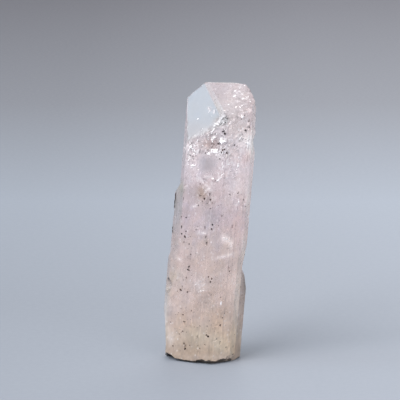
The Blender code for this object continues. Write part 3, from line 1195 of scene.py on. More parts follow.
    def chip_relief(self, points: Array) -> Array:
        """Depth of the broken ground in the chips: random slopes from cell to cell, and ripples.

        Args:
            points: Positions in the crystal's axes, (n, 3).

        Returns:
            The depth, (n,).
        """
        away, numbers = cells(points, 0.7, Seed.CHIPS)
        slopes = self.chip_slope * (0.5 + (away * numbers).sum(axis=1))
        uneven = self.chip_unevenness * (noise(points * 1.6, Seed.CHIP_RIMS) - 0.5)
        depth = np.zeros(len(points))
        for u, v, w, width in self.CHIPS:
            gap = np.linalg.norm(points - (u, v, w), axis=1)
            chipped = 1.0 - ramp(gap + uneven, 0.45 * width, 0.70 * width)
            depth += chipped * (slopes + self.chip_ripple_depth * np.sin(9.0 * gap))
        return depth

    def cut_relief(self) -> None:
        """Lower the points into the crystal by the relief, and nick the edges."""
        points = self.points.reshape(-1, 3)
        normals = self.normals.reshape(-1, 3)
        world = self.axes.to_world(points)
        self.spots = self.view.project(world)
        self.crazed = zone_share(Zone.CRAZED, self.spots)
        mirror = self.mirror_share(normals, self.crazed, self.spots)
        depth = self.relief(points, normals, self.crazed * (1.0 - mirror))
        depth *= 1.0 - self.polish * mirror
        land = (world[:, 2] < 0.05) & (normals[:, 2] < -0.9)
        depth *= self.edge_fade().ravel() * ~land
        mean = unit(sum(self.neighbours(self.normals)) + self.normals).reshape(-1, 3)
        wear = (self.wear + self.crazed_wear * self.crazed) * self.on_edge.ravel() * ~land
        nicks = wear * ramp(noise(points * 1.7, Seed.NICKS), 0.35, 0.85)
        self.surface = np.concatenate([world, self.axes.to_world(self.poles)])
        cut = points - normals * depth[:, None] - mean * nicks[:, None]
        self.points = cut.reshape(*self.shape, 3)

    def mirror_share(self, normals: Array, crazed: Array, spots: Array) -> Array:
        """How far each point is on the smooth part of the steep face, left of its ridge.

        Args:
            normals: Directions out of the faces there, (n, 3).
            crazed: How crazed it is there, (n,).
            spots: Frame coordinates, (n, 2).

        Returns:
            The share, from 0 to 1, (n,).
        """
        top_x, top_y, slope = self.RIDGE
        ridge = top_x + slope * (spots[:, 1] - top_y)
        left = 1.0 - ramp(spots[:, 0], ridge - 0.5, ridge + 0.7)
        return self.steep_share(normals) * (1.0 - ramp(crazed, 0.12, 0.5)) * left

    def steep_share(self, normals: Array) -> Array:
        """One on the steep face at the top left and zero elsewhere."""
        return ramp(normals @ unit(self.STEEP_FACE), 0.9975, 0.9995)

    def tints(self) -> Array:
        """Colour of each point: pale at the top, pink, then beige down to the foot, with painted light
        and shade by face and a painted reflection on the mirror-smooth face.

        Returns:
            The colour, (n, 3).
        """
        heights, colours = self.TINTS[:, 0], self.TINTS[:, 1:]
        rows = self.spots[:, 1] + 14.0 * (fractal(self.flat / 4.0, Seed.TINT_ROWS) - 0.5)
        tint = np.stack([np.interp(rows, heights, channel) for channel in colours.T], axis=1)
        for zone, colour in self.ZONE_COLOURS.items():
            share = 0.8 * zone_share(zone, self.spots)[:, None]
            tint = tint * (1.0 - share) + np.array(colour) * share
        # Painted light and shade by face, then the strip up the left edge.
        tint *= self.painted_face_light() * self.left_strip_tone()
        # Painted reflection: the mirror-smooth face takes the bluish colour of the lamp seen in it,
        # warmer lower down.
        low = ramp(self.spots[:, 1], 114.0, 138.0)[:, None]
        painted_reflection = self.PAINTED_REFLECTION_HIGH * (1.0 - low) + self.PAINTED_REFLECTION_LOW * low
        mirror = self.mirror[:, None]
        tint = tint * (1.0 - mirror) + painted_reflection * mirror
        foot = ramp(self.spots[:, 1], 270.0, 335.0)
        coarse = fractal(self.flat * (0.8, 0.8, 0.6), Seed.MOTTLE) - 0.5
        fine = fractal(self.flat * (2.4, 2.4, 2.0), Seed.FINE_MOTTLE) - 0.5
        mottle = 1.0 + (0.08 + 0.20 * foot) * coarse + (0.04 + 0.32 * foot) * fine
        tint *= mottle[:, None] * self.patches()
        return np.clip(tint, 0.0, 1.0)

    def patches(self) -> Array:
        """Change of tone and hue from patch to patch below the crazed part.

        Returns:
            Factor on the colour, (n, 3).
        """
        low_body = ramp(self.spots[:, 1], 178.0, 215.0)
        bend = np.stack([fractal(self.flat * 1.3, Seed.BENDS + k) for k in range(3)], axis=1)
        bent = self.flat + 0.9 * (bend - 0.5)
        change = np.ones((len(self.flat), 3))
        for size, tone, hue, seed in self.PATCHES:
            _, numbers = cells(bent * (1.0, 1.0, 0.7), size, seed)
            change += np.outer(low_body * tone * numbers[:, 0], (1.0, 1.0, 1.0))
            change += np.outer(low_body * hue * numbers[:, 1], self.HUE_CHANGE)
        return change

    def painted_face_light(self) -> Array:
        """Painted light and shade of each point by its face: painted shade on top and, with dirt,
        underneath, and a painted glow where light comes through.

        Returns:
            Factor on the colour, (n, 3).
        """
        u, v, w = self.flat_normals.T
        right_crystal = ramp(u, 0.60, 0.70) * (1.0 - ramp(u, 0.78, 0.84)) * ramp(-v, 0.5, 0.6)
        right_crystal *= np.interp(self.spots[:, 1], (300.0, 345.0), (1.0, 0.15))
        shares = {
            "front_right": ramp(-v, 0.75, 0.85) * ramp(u, 0.2, 0.4),
            "right_side": ramp(u, 0.80, 0.88) * (1.0 - ramp(u, 0.95, 0.985)) * ramp(-v, 0.1, 0.3),
            "right_crystal": right_crystal,
            "end_face": ramp(w, 0.42, 0.6),
            "steep_face": self.steep_share(self.flat_normals),
        }
        tones = 1.0 + sum(np.outer(share, self.PAINTED_FACE_LIGHT[name]) for name, share in shares.items())
        # Painted shade, with dirt, under what looks down.
        return tones * (1.0 - self.UNDERSIDE_SHADE * ramp(-w, 0.25, 0.55))[:, None]

    def left_strip_tone(self) -> Array:
        """Tone of the greenish grey strip up the left edge, whose border is given row by row.

        Returns:
            Factor on the colour, (n, 3).
        """
        heights, borders, darkness = self.LEFT_STRIP.T
        columns, rows = self.spots.T
        border = np.interp(rows, heights, borders)
        share = 1.0 - ramp(columns, border - 0.6, border + 0.6)
        share = share * np.interp(rows, heights, darkness)
        return 1.0 - np.outer(share, self.STRIP_CHANGE)

    def looks(self) -> Array:
        """Clearness, roughness and height of the fine bump at each point.

        Returns:
            The three values, (n, 3).
        """
        places = {
            "plain": 1.0,
            "noise": fractal(self.flat * (1.8, 1.8, 0.9), Seed.FROST) - 0.5,
            "window": zone_share(Zone.CLEAR, self.spots),
            "milky": zone_share(Zone.MILKY, self.spots),
            "crazed": self.crazed,
            "foot": 1.0 - ramp(self.flat[:, 2], 1.0, 12.0),
        }
        clear = sum(change * places[place] for place, change in self.CLEARNESS.items())
        frost = sum(change * places[place] for place, change in self.FROST.items())
        clear = clear * (1.0 - self.mirror) + self.MIRROR_CLEARNESS * self.mirror
        frost = frost * (1.0 - self.mirror) + self.MIRROR_FROST * self.mirror
        bump = 1.0 - self.polish * self.mirror
        return np.stack([np.clip(clear, 0.05, 0.95), np.clip(frost, 0.03, 0.6), bump], axis=1)

    def marks(self) -> Array:
        """How crazed, how dusty with rust and how mirror-smooth each point is.

        Returns:
            The three shares, (n, 3).
        """
        low = 1.0 - ramp(self.flat[:, 2], 20.0, 34.0)
        behind = self.flat_normals[:, 1] > 0.0
        dusty = 0.9 * zone_share(Zone.DUSTY, self.spots) + 0.12 * low + 0.2 * low * behind
        crazed = self.crazed * (1.0 - self.mirror)
        return np.stack([crazed, np.clip(dusty, 0.0, 0.9), self.mirror], axis=1)

    def build(self, finish: CrystalFinish) -> bpy.types.Object:
        """Make the skin and dress it.

        Args:
            finish: Its finish.

        Returns:
            The piece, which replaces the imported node.
        """
        self.meet_solid()
        self.snap_to_edges()
        self.cut_relief()
        self.flat = np.concatenate([self.points.reshape(-1, 3), self.poles])
        self.flat_normals = np.concatenate([self.normals.reshape(-1, 3), self.POLE_WAYS])
        self.world = within_cad_box(self.axes.to_world(self.flat))
        self.spots = self.view.project(self.world)
        self.crazed = zone_share(Zone.CRAZED, self.spots)
        self.mirror = self.mirror_share(self.flat_normals, self.crazed, self.spots)
        quads, triangles = closed_grid(*self.shape)
        piece = mesh_piece("crystal_skin", self.world, quads[:, [0, 3, 2, 1]], triangles[:, [0, 2, 1]])
        piece.data.set_sharp_from_angle(angle=self.sharp_angle)
        # The tint holds painted light, shade and reflection as well as colour.
        colour_attribute(piece, "tint", self.tints())
        colour_attribute(piece, "look", self.looks())
        colour_attribute(piece, "marks", self.marks())
        ride_on_crystal(piece, finish.material())
        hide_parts(NODE)
        return piece


@dataclass
class SurfaceFinder:
    """Finds places on the skin for the small pieces that sit on it."""

    skin: CrystalSkin

    def __post_init__(self) -> None:
        """Work out the skin's outward direction at each of its points, in the world."""
        self.points = self.skin.surface
        self.outward = self.skin.flat_normals @ self.skin.axes.turn().T
        self.facing = self.outward @ self.skin.view.back()
        self.clear_of_foot = self.points[:, 2] > FOOT_CLEAR

    def at_spots(self, spots: Array) -> Array:
        """Points on the front that lie nearest to frame coordinates.

        Args:
            spots: Frame coordinates, (n, 2).

        Returns:
            Numbers of the points, (n,).
        """
        front = np.flatnonzero(self.facing > 0.05)
        gaps = ((self.skin.spots[front][None] - spots[:, None]) ** 2).sum(axis=2)
        return front[gaps.argmin(axis=1)]

    def scattered(self, count: int, chance: Array, rng: np.random.Generator) -> Array:
        """Numbers of points drawn at random, each with its own chance, (count,)."""
        return rng.choice(len(self.points), count, replace=False, p=chance / chance.sum())


@dataclass
class LensField:
    """Many small flat or rounded bodies in one mesh, standing on the skin.

    Each one is a closed lens. At a turn t and a tilt f it reaches r(t) sin f across and its
    thickness times cos f along its normal. Its outline r(t) is uneven: each of its corners is
    shortened by a random share, up to uneven. Each normal leans off the skin's by up to lean.
    """

    name: str
    lean: float
    uneven: float
    seed: int
    columns: int = 6
    rows: int = 3
    sharp_angle: float = math.radians(35.0)

    def lens_grid(self, rng: np.random.Generator, count: int) -> tuple[Array, Array, Array]:
        """Shapes of the lenses before they are sized and placed.

        Args:
            rng: Source of the random outlines.
            count: Number of lenses.

        Returns:
            Two directions across and one along the normal, each (count, points of a lens).
        """
        turn = np.linspace(0.0, 2.0 * np.pi, self.columns, endpoint=False)
        tilt = np.linspace(0.0, np.pi, self.rows + 2)[1:-1]
        outline = 1.0 - self.uneven * rng.random((count, self.columns))
        ring = np.sin(tilt)[None, :, None] * outline[:, None, :]
        across = ring * np.cos(turn)
        along = ring * np.sin(turn)
        rise = np.broadcast_to(np.cos(tilt)[None, :, None], ring.shape)
        ends = np.zeros((count, 2))
        flat = [field.reshape(count, -1) for field in (across, along, rise)]
        tips = [ends, ends, ends + (1.0, -1.0)]
        across, along, rise = (np.concatenate(pair, axis=1) for pair in zip(flat, tips))
        return across, along, rise

    def build(self, centres: Array, outward: Array, sizes: Array, slants: Array,
              material: bpy.types.Material) -> bpy.types.Object:
        """Make the piece.

        Args:
            centres: Middles of the lenses in the world, (n, 3).
            outward: Directions of their normals, (n, 3).
            sizes: Half width, half length and half thickness of each, (n, 3).
            slants: Angle from the crystal's length to each lens's own, in degrees, (n,).
            material: Its material.

        Returns:
            The piece, riding on the crystal's body.
        """
        rng = np.random.default_rng(self.seed)
        count = len(centres)
        normal = unit(outward + self.lean * (2.0 * rng.random((count, 3)) - 1.0))
        long_axis = CrystalAxes().turn()[:, 2]
        sideways = unit(np.cross(long_axis, normal))
        lengthways = np.cross(normal, sideways)
        angle = np.radians(slants)[:, None]
        first = sideways * np.cos(angle) - lengthways * np.sin(angle)
        second = sideways * np.sin(angle) + lengthways * np.cos(angle)
        across, along, rise = self.lens_grid(rng, count)
        points = centres[:, None] + (
            (across * sizes[:, :1])[..., None] * first[:, None]
            + (along * sizes[:, 1:2])[..., None] * second[:, None]
            + (rise * sizes[:, 2:])[..., None] * normal[:, None]
        )
        points = within_cad_box(points.reshape(-1, 3))
        shape = self.rows * self.columns + 2
        faces = [repeated(part, count, shape) for part in closed_grid(self.rows, self.columns)]
        piece = mesh_piece(self.name, points, *faces)
        piece.data.set_sharp_from_angle(angle=self.sharp_angle)
        ride_on_crystal(piece, material)
        return piece


@dataclass
class Flakes:
    """Bright cleavage flakes of the crazed upper part, and a few pale ones below."""

    finder: SurfaceFinder
    seed: int = 5
    loose_count: int = 620
    thickness: float = 0.07
    thin_share: float = 0.6
    deepest: float = 0.08
    rare_chance: float = 0.004
    steepest: float = 0.85

    MAIN_SLANTS = np.array([-55.0, 40.0, 80.0, 5.0])

    # Frame x and y, half width and half length in millimetres, slant in degrees to the right.
    BRIGHT = [
        (235.4, 90.5, 0.16, 0.44, 45), (234.6, 91.8, 0.10, 0.20, 70), (228.3, 104.4, 0.20, 0.36, 60),
        (243.4, 98.4, 0.16, 0.30, 40), (244.6, 85.4, 0.14, 0.26, 55), (248.6, 96.4, 0.10, 0.30, 20),
        (250.5, 102.0, 0.16, 0.24, 20), (240.2, 88.0, 0.08, 0.24, 30), (241.2, 115.4, 0.10, 0.60, -25),
        (242.8, 117.4, 0.28, 0.42, 50), (244.4, 115.0, 0.12, 0.45, 40), (247.2, 112.4, 0.12, 0.42, 45),
        (232.6, 113.6, 0.06, 0.50, 95), (209.9, 110.4, 0.15, 0.42, 40), (208.7, 112.2, 0.10, 0.20, 20),
        (197.9, 118.7, 0.14, 0.36, 60), (217.0, 124.5, 0.18, 0.84, 91), (213.6, 129.4, 0.20, 0.50, 20),
        (212.6, 131.8, 0.26, 0.50, 40), (211.4, 133.9, 0.12, 0.30, 35), (208.6, 135.6, 0.10, 0.22, 0),
        (202.4, 128.6, 0.08, 0.16, 20), (201.6, 130.6, 0.08, 0.20, 0), (209.0, 130.4, 0.07, 0.14, 80),
        (215.0, 136.2, 0.05, 0.70, 85), (221.4, 140.2, 0.50, 0.62, 20), (223.8, 141.4, 0.40, 0.60, 75),
        (222.2, 143.0, 0.24, 0.34, 10), (220.4, 141.2, 0.22, 0.40, -20), (225.6, 141.0, 0.12, 0.30, 80),
        (213.2, 149.6, 0.30, 0.62, 85), (216.4, 149.8, 0.34, 0.60, 70), (215.2, 151.8, 0.42, 0.56, 90),
        (217.0, 153.0, 0.24, 0.34, 30), (213.4, 151.8, 0.20, 0.30, 0), (218.6, 148.2, 0.10, 0.30, 60),
        (211.6, 150.0, 0.14, 0.24, 20), (219.6, 151.6, 0.10, 0.26, 0), (219.6, 154.0, 0.08, 0.14, 0),
        (208.6, 154.0, 0.28, 0.36, 60), (209.6, 154.8, 0.10, 0.20, -40), (207.6, 154.8, 0.08, 0.16, 60),
        (191.2, 146.6, 0.36, 0.46, 70), (190.0, 148.0, 0.20, 0.30, 20), (193.0, 148.0, 0.16, 0.34, 60),
        (192.2, 144.6, 0.10, 0.30, 80), (190.4, 143.6, 0.08, 0.30, 60), (188.6, 149.8, 0.16, 0.30, 30),
        (187.9, 151.4, 0.14, 0.20, 0), (195.4, 150.6, 0.14, 0.34, -30), (196.4, 152.4, 0.10, 0.26, 20),
        (194.6, 153.0, 0.08, 0.20, 0), (189.6, 153.4, 0.06, 0.30, 0), (192.0, 166.0, 0.32, 0.50, 60),
        (193.8, 165.6, 0.18, 0.34, 80), (191.4, 167.2, 0.14, 0.26, 70), (195.6, 164.8, 0.10, 0.30, 60),
        (188.4, 165.4, 0.10, 0.16, 0), (190.4, 164.6, 0.08, 0.20, 50), (196.6, 166.4, 0.06, 0.16, 80),
        (222.6, 163.4, 0.13, 0.50, 2), (222.5, 166.8, 0.12, 0.50, -2), (222.2, 169.8, 0.09, 0.36, 6),
        (221.9, 172.4, 0.08, 0.30, 4), (223.0, 174.4, 0.12, 0.34, 50), (221.6, 175.4, 0.14, 0.34, 10),
        (220.9, 177.2, 0.15, 0.34, 20), (219.4, 179.0, 0.15, 0.40, 45), (217.8, 180.4, 0.22, 0.34, 50),
        (216.6, 181.6, 0.12, 0.28, 60), (238.4, 157.4, 0.18, 0.32, 70), (237.8, 163.8, 0.18, 0.28, 0),
        (237.6, 166.6, 0.24, 0.44, 10), (238.4, 165.2, 0.10, 0.30, -30), (236.6, 172.2, 0.18, 0.30, 85),
        (234.4, 165.6, 0.08, 0.14, 0), (236.2, 169.2, 0.08, 0.30, 20), (247.4, 142.4, 0.34, 0.50, 60),
        (245.6, 142.6, 0.14, 0.30, 80), (249.6, 141.2, 0.12, 0.34, 30), (246.0, 140.4, 0.10, 0.26, 20),
        (248.0, 144.4, 0.10, 0.24, 60), (245.4, 135.4, 0.10, 0.20, 40), (242.4, 138.0, 0.10, 0.24, 60),
        (251.6, 131.2, 0.14, 0.34, 20), (253.6, 138.0, 0.12, 0.50, 5), (252.4, 134.0, 0.08, 0.30, 30),
        (250.4, 134.6, 0.06, 0.20, 70), (241.0, 136.2, 0.06, 0.30, 40), (229.4, 145.4, 0.10, 0.40, 60),
        (227.6, 144.4, 0.08, 0.24, 80), (231.4, 134.6, 0.08, 0.24, 70), (228.8, 137.4, 0.05, 0.30, 85),
        (229.0, 139.4, 0.05, 0.30, 88), (229.2, 141.2, 0.05, 0.30, 84), (226.4, 154.2, 0.07, 0.16, 60),
        (201.2, 141.6, 0.06, 0.26, 0), (204.2, 139.8, 0.05, 0.14, 40), (214.2, 166.4, 0.05, 0.14, 0),
        (224.8, 136.4, 0.10, 0.24, 60), (211.8, 116.2, 0.08, 0.14, 60), (246.2, 146.4, 0.05, 0.20, 80),
        (237.6, 148.4, 0.06, 0.16, 10), (238.2, 151.4, 0.06, 0.30, -10), (253.6, 121.6, 0.06, 0.30, 0),
        (238.4, 202.4, 0.16, 0.52, 2), (245.2, 203.9, 0.20, 0.24, 0), (247.0, 211.4, 0.15, 0.22, 0),
        (203.4, 257.4, 0.07, 0.30, 50), (201.8, 259.4, 0.08, 0.22, 60), (204.8, 256.2, 0.06, 0.20, 30),
        (203.8, 259.6, 0.05, 0.16, -30), (201.6, 266.0, 0.12, 0.18, 70), (243.4, 242.2, 0.08, 0.36, 0),
        (195.9, 284.6, 0.12, 0.16, 60), (199.8, 281.4, 0.08, 0.26, 80), (201.6, 281.0, 0.06, 0.16, 60),
        (204.6, 284.4, 0.07, 0.20, 60), (203.0, 286.4, 0.06, 0.18, 20), (206.0, 282.6, 0.05, 0.16, 0),
        (200.6, 290.6, 0.06, 0.24, 85), (203.8, 288.0, 0.05, 0.20, 80), (198.4, 291.4, 0.05, 0.30, 85),
        (238.2, 284.5, 0.16, 0.20, 40), (213.4, 306.1, 0.12, 0.18, 60), (201.8, 302.8, 0.06, 0.20, 60),
        (212.2, 307.0, 0.06, 0.10, 0), (189.4, 303.0, 0.05, 0.16, 20), (174.6, 262.0, 0.06, 0.20, -30),
        (206.0, 270.0, 0.05, 0.14, 40),
    ]
    PALE = [
        (225.2, 237.8, 0.34, 0.50, -50), (227.2, 239.6, 0.34, 0.44, -40), (223.6, 238.6, 0.26, 0.40, 10),
        (230.6, 243.4, 0.22, 0.44, 10), (231.2, 246.4, 0.14, 0.34, 8), (229.2, 241.2, 0.20, 0.34, -60),
        (203.0, 232.8, 0.14, 0.44, 80), (205.0, 233.8, 0.12, 0.34, 100), (201.6, 232.4, 0.10, 0.20, 70),
        (217.3, 221.5, 0.07, 0.60, 2), (200.8, 291.3, 0.26, 0.34, 0), (203.0, 290.2, 0.18, 0.30, 80),
        (203.2, 188.0, 0.08, 0.50, -40), (205.8, 190.6, 0.08, 0.40, -55), (209.8, 188.6, 0.10, 0.40, 40),
        (198.0, 170.0, 0.20, 0.40, 20), (226.5, 156.0, 0.20, 0.50, 15), (231.0, 128.5, 0.14, 0.50, 10),
        (224.8, 110.6, 0.20, 0.40, 60), (236.0, 107.0, 0.30, 0.40, 20), (230.6, 254.6, 0.10, 0.60, 70),
        (224.4, 257.0, 0.10, 0.60, 75), (193.4, 206.6, 0.08, 0.44, 65), (196.4, 205.0, 0.08, 0.40, 70),
        (179.4, 259.4, 0.10, 0.44, -55), (171.2, 323.4, 0.08, 0.50, 80), (225.0, 320.4, 0.08, 0.60, 85),
        (229.6, 311.8, 0.10, 0.40, 80), (236.4, 289.8, 0.14, 0.44, 88), (234.6, 300.2, 0.08, 0.40, 85),
    ]

    def listed(self, rows: list[tuple[float, ...]]) -> tuple[Array, Array, Array, Array]:
        """Middles, directions, half sizes and slants of the flakes in a list.

        Args:
            rows: The list.

        Returns:
            The four, each with one row for a flake.
        """
        table = np.array(rows)
        found = self.finder.at_spots(table[:, :2])
        outward = self.finder.outward[found]
        sizes = np.column_stack([table[:, 2:4], np.full(len(table), self.thickness)])
        return self.finder.points[found] - 0.5 * self.thickness * outward, outward, sizes, table[:, 4]

    def loose(self, rng: np.random.Generator) -> tuple[Array, Array, Array, Array]:
        """Middles, directions, half sizes and slants of flakes strewn where it is crazed.

        Args:
            rng: Source of the scatter.

        Returns:
            The four, each with one row for a flake.
        """
        skin = self.finder.skin
        side = np.abs(self.finder.outward[:, 2]) < self.steepest
        chance = (skin.crazed**2 + self.rare_chance) * side * (1.0 - skin.mirror)
        chance *= self.finder.clear_of_foot
        chance *= 1.0 - 0.8 * ramp(self.finder.outward[:, 2], 0.35, 0.55)
        found = self.finder.scattered(self.loose_count, chance, rng)
        length = 0.08 + 0.42 * rng.random(self.loose_count) ** 3
        width = length * (0.12 + 0.45 * rng.random(self.loose_count) ** 2)
        thickness = np.full(self.loose_count, self.thin_share * self.thickness)
        sizes = np.column_stack([width, length, thickness])
        slants = self.MAIN_SLANTS[rng.integers(0, len(self.MAIN_SLANTS), self.loose_count)]
        slants = slants + 50.0 * (rng.random(self.loose_count) - 0.5)
        outward = self.finder.outward[found]
        depth = self.deepest * rng.random((self.loose_count, 1))
        return self.finder.points[found] - depth * outward, outward, sizes, slants

    def build(self) -> list[bpy.types.Object]:
        """Make the bright and the pale flakes.

        Returns:
            The two pieces.
        """
        rng = np.random.default_rng(self.seed)
        bright = [np.concatenate(pair) for pair in zip(self.listed(self.BRIGHT), self.loose(rng))]
        white = FlakeFinish("bright_flake", (0.97, 0.94, 0.95), 0.16).material()
        pale = FlakeFinish("pale_flake", (0.80, 0.73, 0.72), 0.4).material()
        return [
            LensField("bright_flakes", 0.10, 0.55, self.seed + 1).build(*bright, white),
            LensField("pale_flakes", 0.05, 0.5, self.seed + 2).build(*self.listed(self.PALE), pale),
        ]


@dataclass
class Grains:
    """Dark mineral grains, sunk half way into the skin, and dark slits, which along the left edge are
    painted shadow.
    """

    finder: SurfaceFinder
    seed: int = 8
    loose_count: int = 260
    satellites: int = 3
    satellite_reach: float = 2.2
    thickness_share: float = 0.16

    # Frame x and y, and width in millimetres.
    DARK = [
        (237.5, 193.5, 0.32), (229.5, 194.3, 0.20), (221.8, 215.6, 0.32), (212.4, 224.8, 0.24),
        (211.7, 229.2, 0.20), (196.4, 229.2, 0.22), (181.5, 234.0, 0.26), (185.0, 237.0, 0.32),
        (186.0, 231.4, 0.32), (184.1, 242.2, 0.24), (190.2, 236.4, 0.20), (189.1, 243.8, 0.34),
        (191.2, 254.4, 0.42), (189.9, 259.1, 0.18), (189.2, 267.0, 0.22), (188.4, 269.6, 0.32),
        (186.5, 277.6, 0.24), (180.5, 289.5, 0.30), (177.5, 291.5, 0.18), (187.5, 292.2, 0.36),
        (208.6, 277.3, 0.26), (211.6, 279.2, 0.28), (210.6, 282.2, 0.24), (229.4, 271.3, 0.26),
        (226.2, 281.9, 0.22), (209.0, 292.5, 0.16), (211.0, 295.8, 0.18), (181.2, 308.8, 0.16),
        (191.5, 311.2, 0.24), (183.3, 314.4, 0.30), (178.2, 312.7, 0.16), (170.3, 321.7, 0.18),
        (184.2, 322.0, 0.22), (209.4, 321.0, 0.22), (200.1, 325.7, 0.22), (207.4, 326.0, 0.20),
        (215.0, 328.4, 0.22), (220.3, 326.0, 0.24), (182.4, 331.3, 0.26), (179.7, 333.5, 0.16),
        (208.4, 336.6, 0.30), (206.4, 334.9, 0.18), (184.2, 343.0, 0.20), (185.2, 348.7, 0.36),
        (172.8, 346.2, 0.20), (204.4, 344.6, 0.20), (199.8, 348.5, 0.16), (197.8, 345.9, 0.16),
        (200.3, 184.3, 0.24), (176.0, 197.0, 0.18), (186.0, 217.8, 0.20), (181.5, 216.5, 0.16),
        (210.4, 208.4, 0.24), (198.4, 205.5, 0.20), (218.2, 226.0, 0.18), (243.6, 199.6, 0.18),
        (245.2, 206.4, 0.20), (220.8, 204.5, 0.18), (234.5, 145.1, 0.20), (249.5, 127.0, 0.24),
        (245.2, 130.0, 0.24), (193.5, 156.2, 0.22), (190.6, 155.4, 0.18), (205.5, 152.7, 0.20),
        (226.4, 152.7, 0.26), (208.1, 149.8, 0.24), (223.0, 149.6, 0.30), (221.6, 152.2, 0.24),
        (219.9, 158.6, 0.30), (225.2, 133.2, 0.26), (215.3, 134.5, 0.22), (218.9, 143.3, 0.22),
        (227.2, 118.6, 0.22), (225.6, 122.3, 0.22), (244.3, 115.7, 0.24), (241.3, 119.2, 0.22),
        (245.2, 139.1, 0.18), (201.0, 193.4, 0.20), (199.6, 195.4, 0.24), (204.8, 197.8, 0.22),
        (210.6, 199.8, 0.20), (212.0, 203.2, 0.20), (202.4, 201.6, 0.20), (207.0, 203.6, 0.16),
    ]

    # Dark slits and smears: frame x and y, width and length in millimetres, slant in degrees. The first
    # six, along the left edge, are painted shadow in the gaps there.
    SHADOW_SLITS_AND_SMEARS = [
        (175.9, 194.4, 0.46, 1.2, 5), (175.6, 198.3, 0.40, 1.3, 0), (174.9, 202.2, 0.44, 1.5, 4),
        (174.6, 206.4, 0.38, 1.2, -1), (172.6, 227.6, 0.38, 1.0, 4), (172.4, 230.8, 0.30, 0.9, 0),
        (184.0, 191.0, 0.16, 1.4, 4), (183.0, 199.5, 0.12, 1.4, 4), (181.8, 226.5, 0.20, 0.9, 0),
        (206.2, 236.5, 0.22, 0.9, 0), (206.4, 243.0, 0.28, 1.1, 0), (232.8, 346.0, 0.16, 0.8, 0),
        (249.0, 120.5, 0.14, 1.2, 4), (246.2, 131.0, 0.18, 0.8, 10), (221.0, 124.0, 0.16, 1.2, 40),
        (224.8, 149.5, 0.30, 0.7, 40), (213.4, 143.6, 0.14, 0.9, 85), (223.4, 131.6, 0.24, 0.9, 60),
    ]

    def build(self) -> bpy.types.Object:
        """Make the grains: the listed ones in front, with slits of painted shadow along the left edge,
        and others strewn over the lower body.

        Returns:
            The piece.
        """
        rng = np.random.default_rng(self.seed)
        table = self.with_satellites(np.array(self.DARK), rng)
        slits = np.array(self.SHADOW_SLITS_AND_SMEARS)
        listed = self.finder.at_spots(np.concatenate([table[:, :2], slits[:, :2]]))
        skin = self.finder.skin
        low_body = 1.0 - ramp(skin.flat[:, 2], 26.0, 34.0)
        clusters = ramp(fractal(skin.flat * (0.35, 0.35, 0.2), Seed.CLUSTERS), 0.45, 0.65)
        upright = np.abs(skin.flat_normals[:, 2]) < 0.6
        behind = np.where(self.finder.facing > 0.0, 0.25, 1.0)
        chance = (0.06 + low_body) * (0.15 + clusters) * upright * behind * self.finder.clear_of_foot
        strewn = self.finder.scattered(self.loose_count, chance, rng)
        strewn_width = 0.06 + 0.22 * rng.random(self.loose_count) ** 3
        width = np.concatenate([table[:, 2], slits[:, 2], strewn_width])
        length = width * (0.7 + 1.1 * rng.random(len(width)) ** 2)
        slants = 120.0 * (rng.random(len(width)) - 0.5)
        slit_rows = slice(len(table), len(table) + len(slits))
        length[slit_rows] = slits[:, 3]
        slants[slit_rows] = slits[:, 4]
        sizes = np.column_stack([width / 2.0, length / 2.0, self.thickness_share * width])
        found = np.concatenate([listed, strewn])
        # One dark finish for the grains and for the slits of painted shadow.
        dark = GrainFinish("dark_grain", (0.012, 0.009, 0.009), (0.06, 0.03, 0.025)).material()
        field = LensField("dark_grains_and_shadow_slits", 0.1, 0.6, self.seed + 1, columns=7)
        return field.build(self.finder.points[found], self.finder.outward[found], sizes, slants, dark)

    def with_satellites(self, table: Array, rng: np.random.Generator) -> Array:
        """The listed grains with their widths scattered, and a few small ones round each.

        Args:
            table: Frame x and y, and width of each grain, (n, 3).
            rng: Source of the scatter.

        Returns:
            The larger table, with the same columns.
        """
        main = table * (1.0, 1.0, 0.0)
        main[:, 2] = table[:, 2] * (1.15 + 0.7 * rng.random(len(table)))
        small = np.repeat(table, self.satellites, axis=0)
        small[:, :2] += self.satellite_reach * rng.normal(size=(len(small), 2))
        small[:, 2] = 0.07 + 0.11 * rng.random(len(small)) ** 2
        return np.concatenate([main, small])


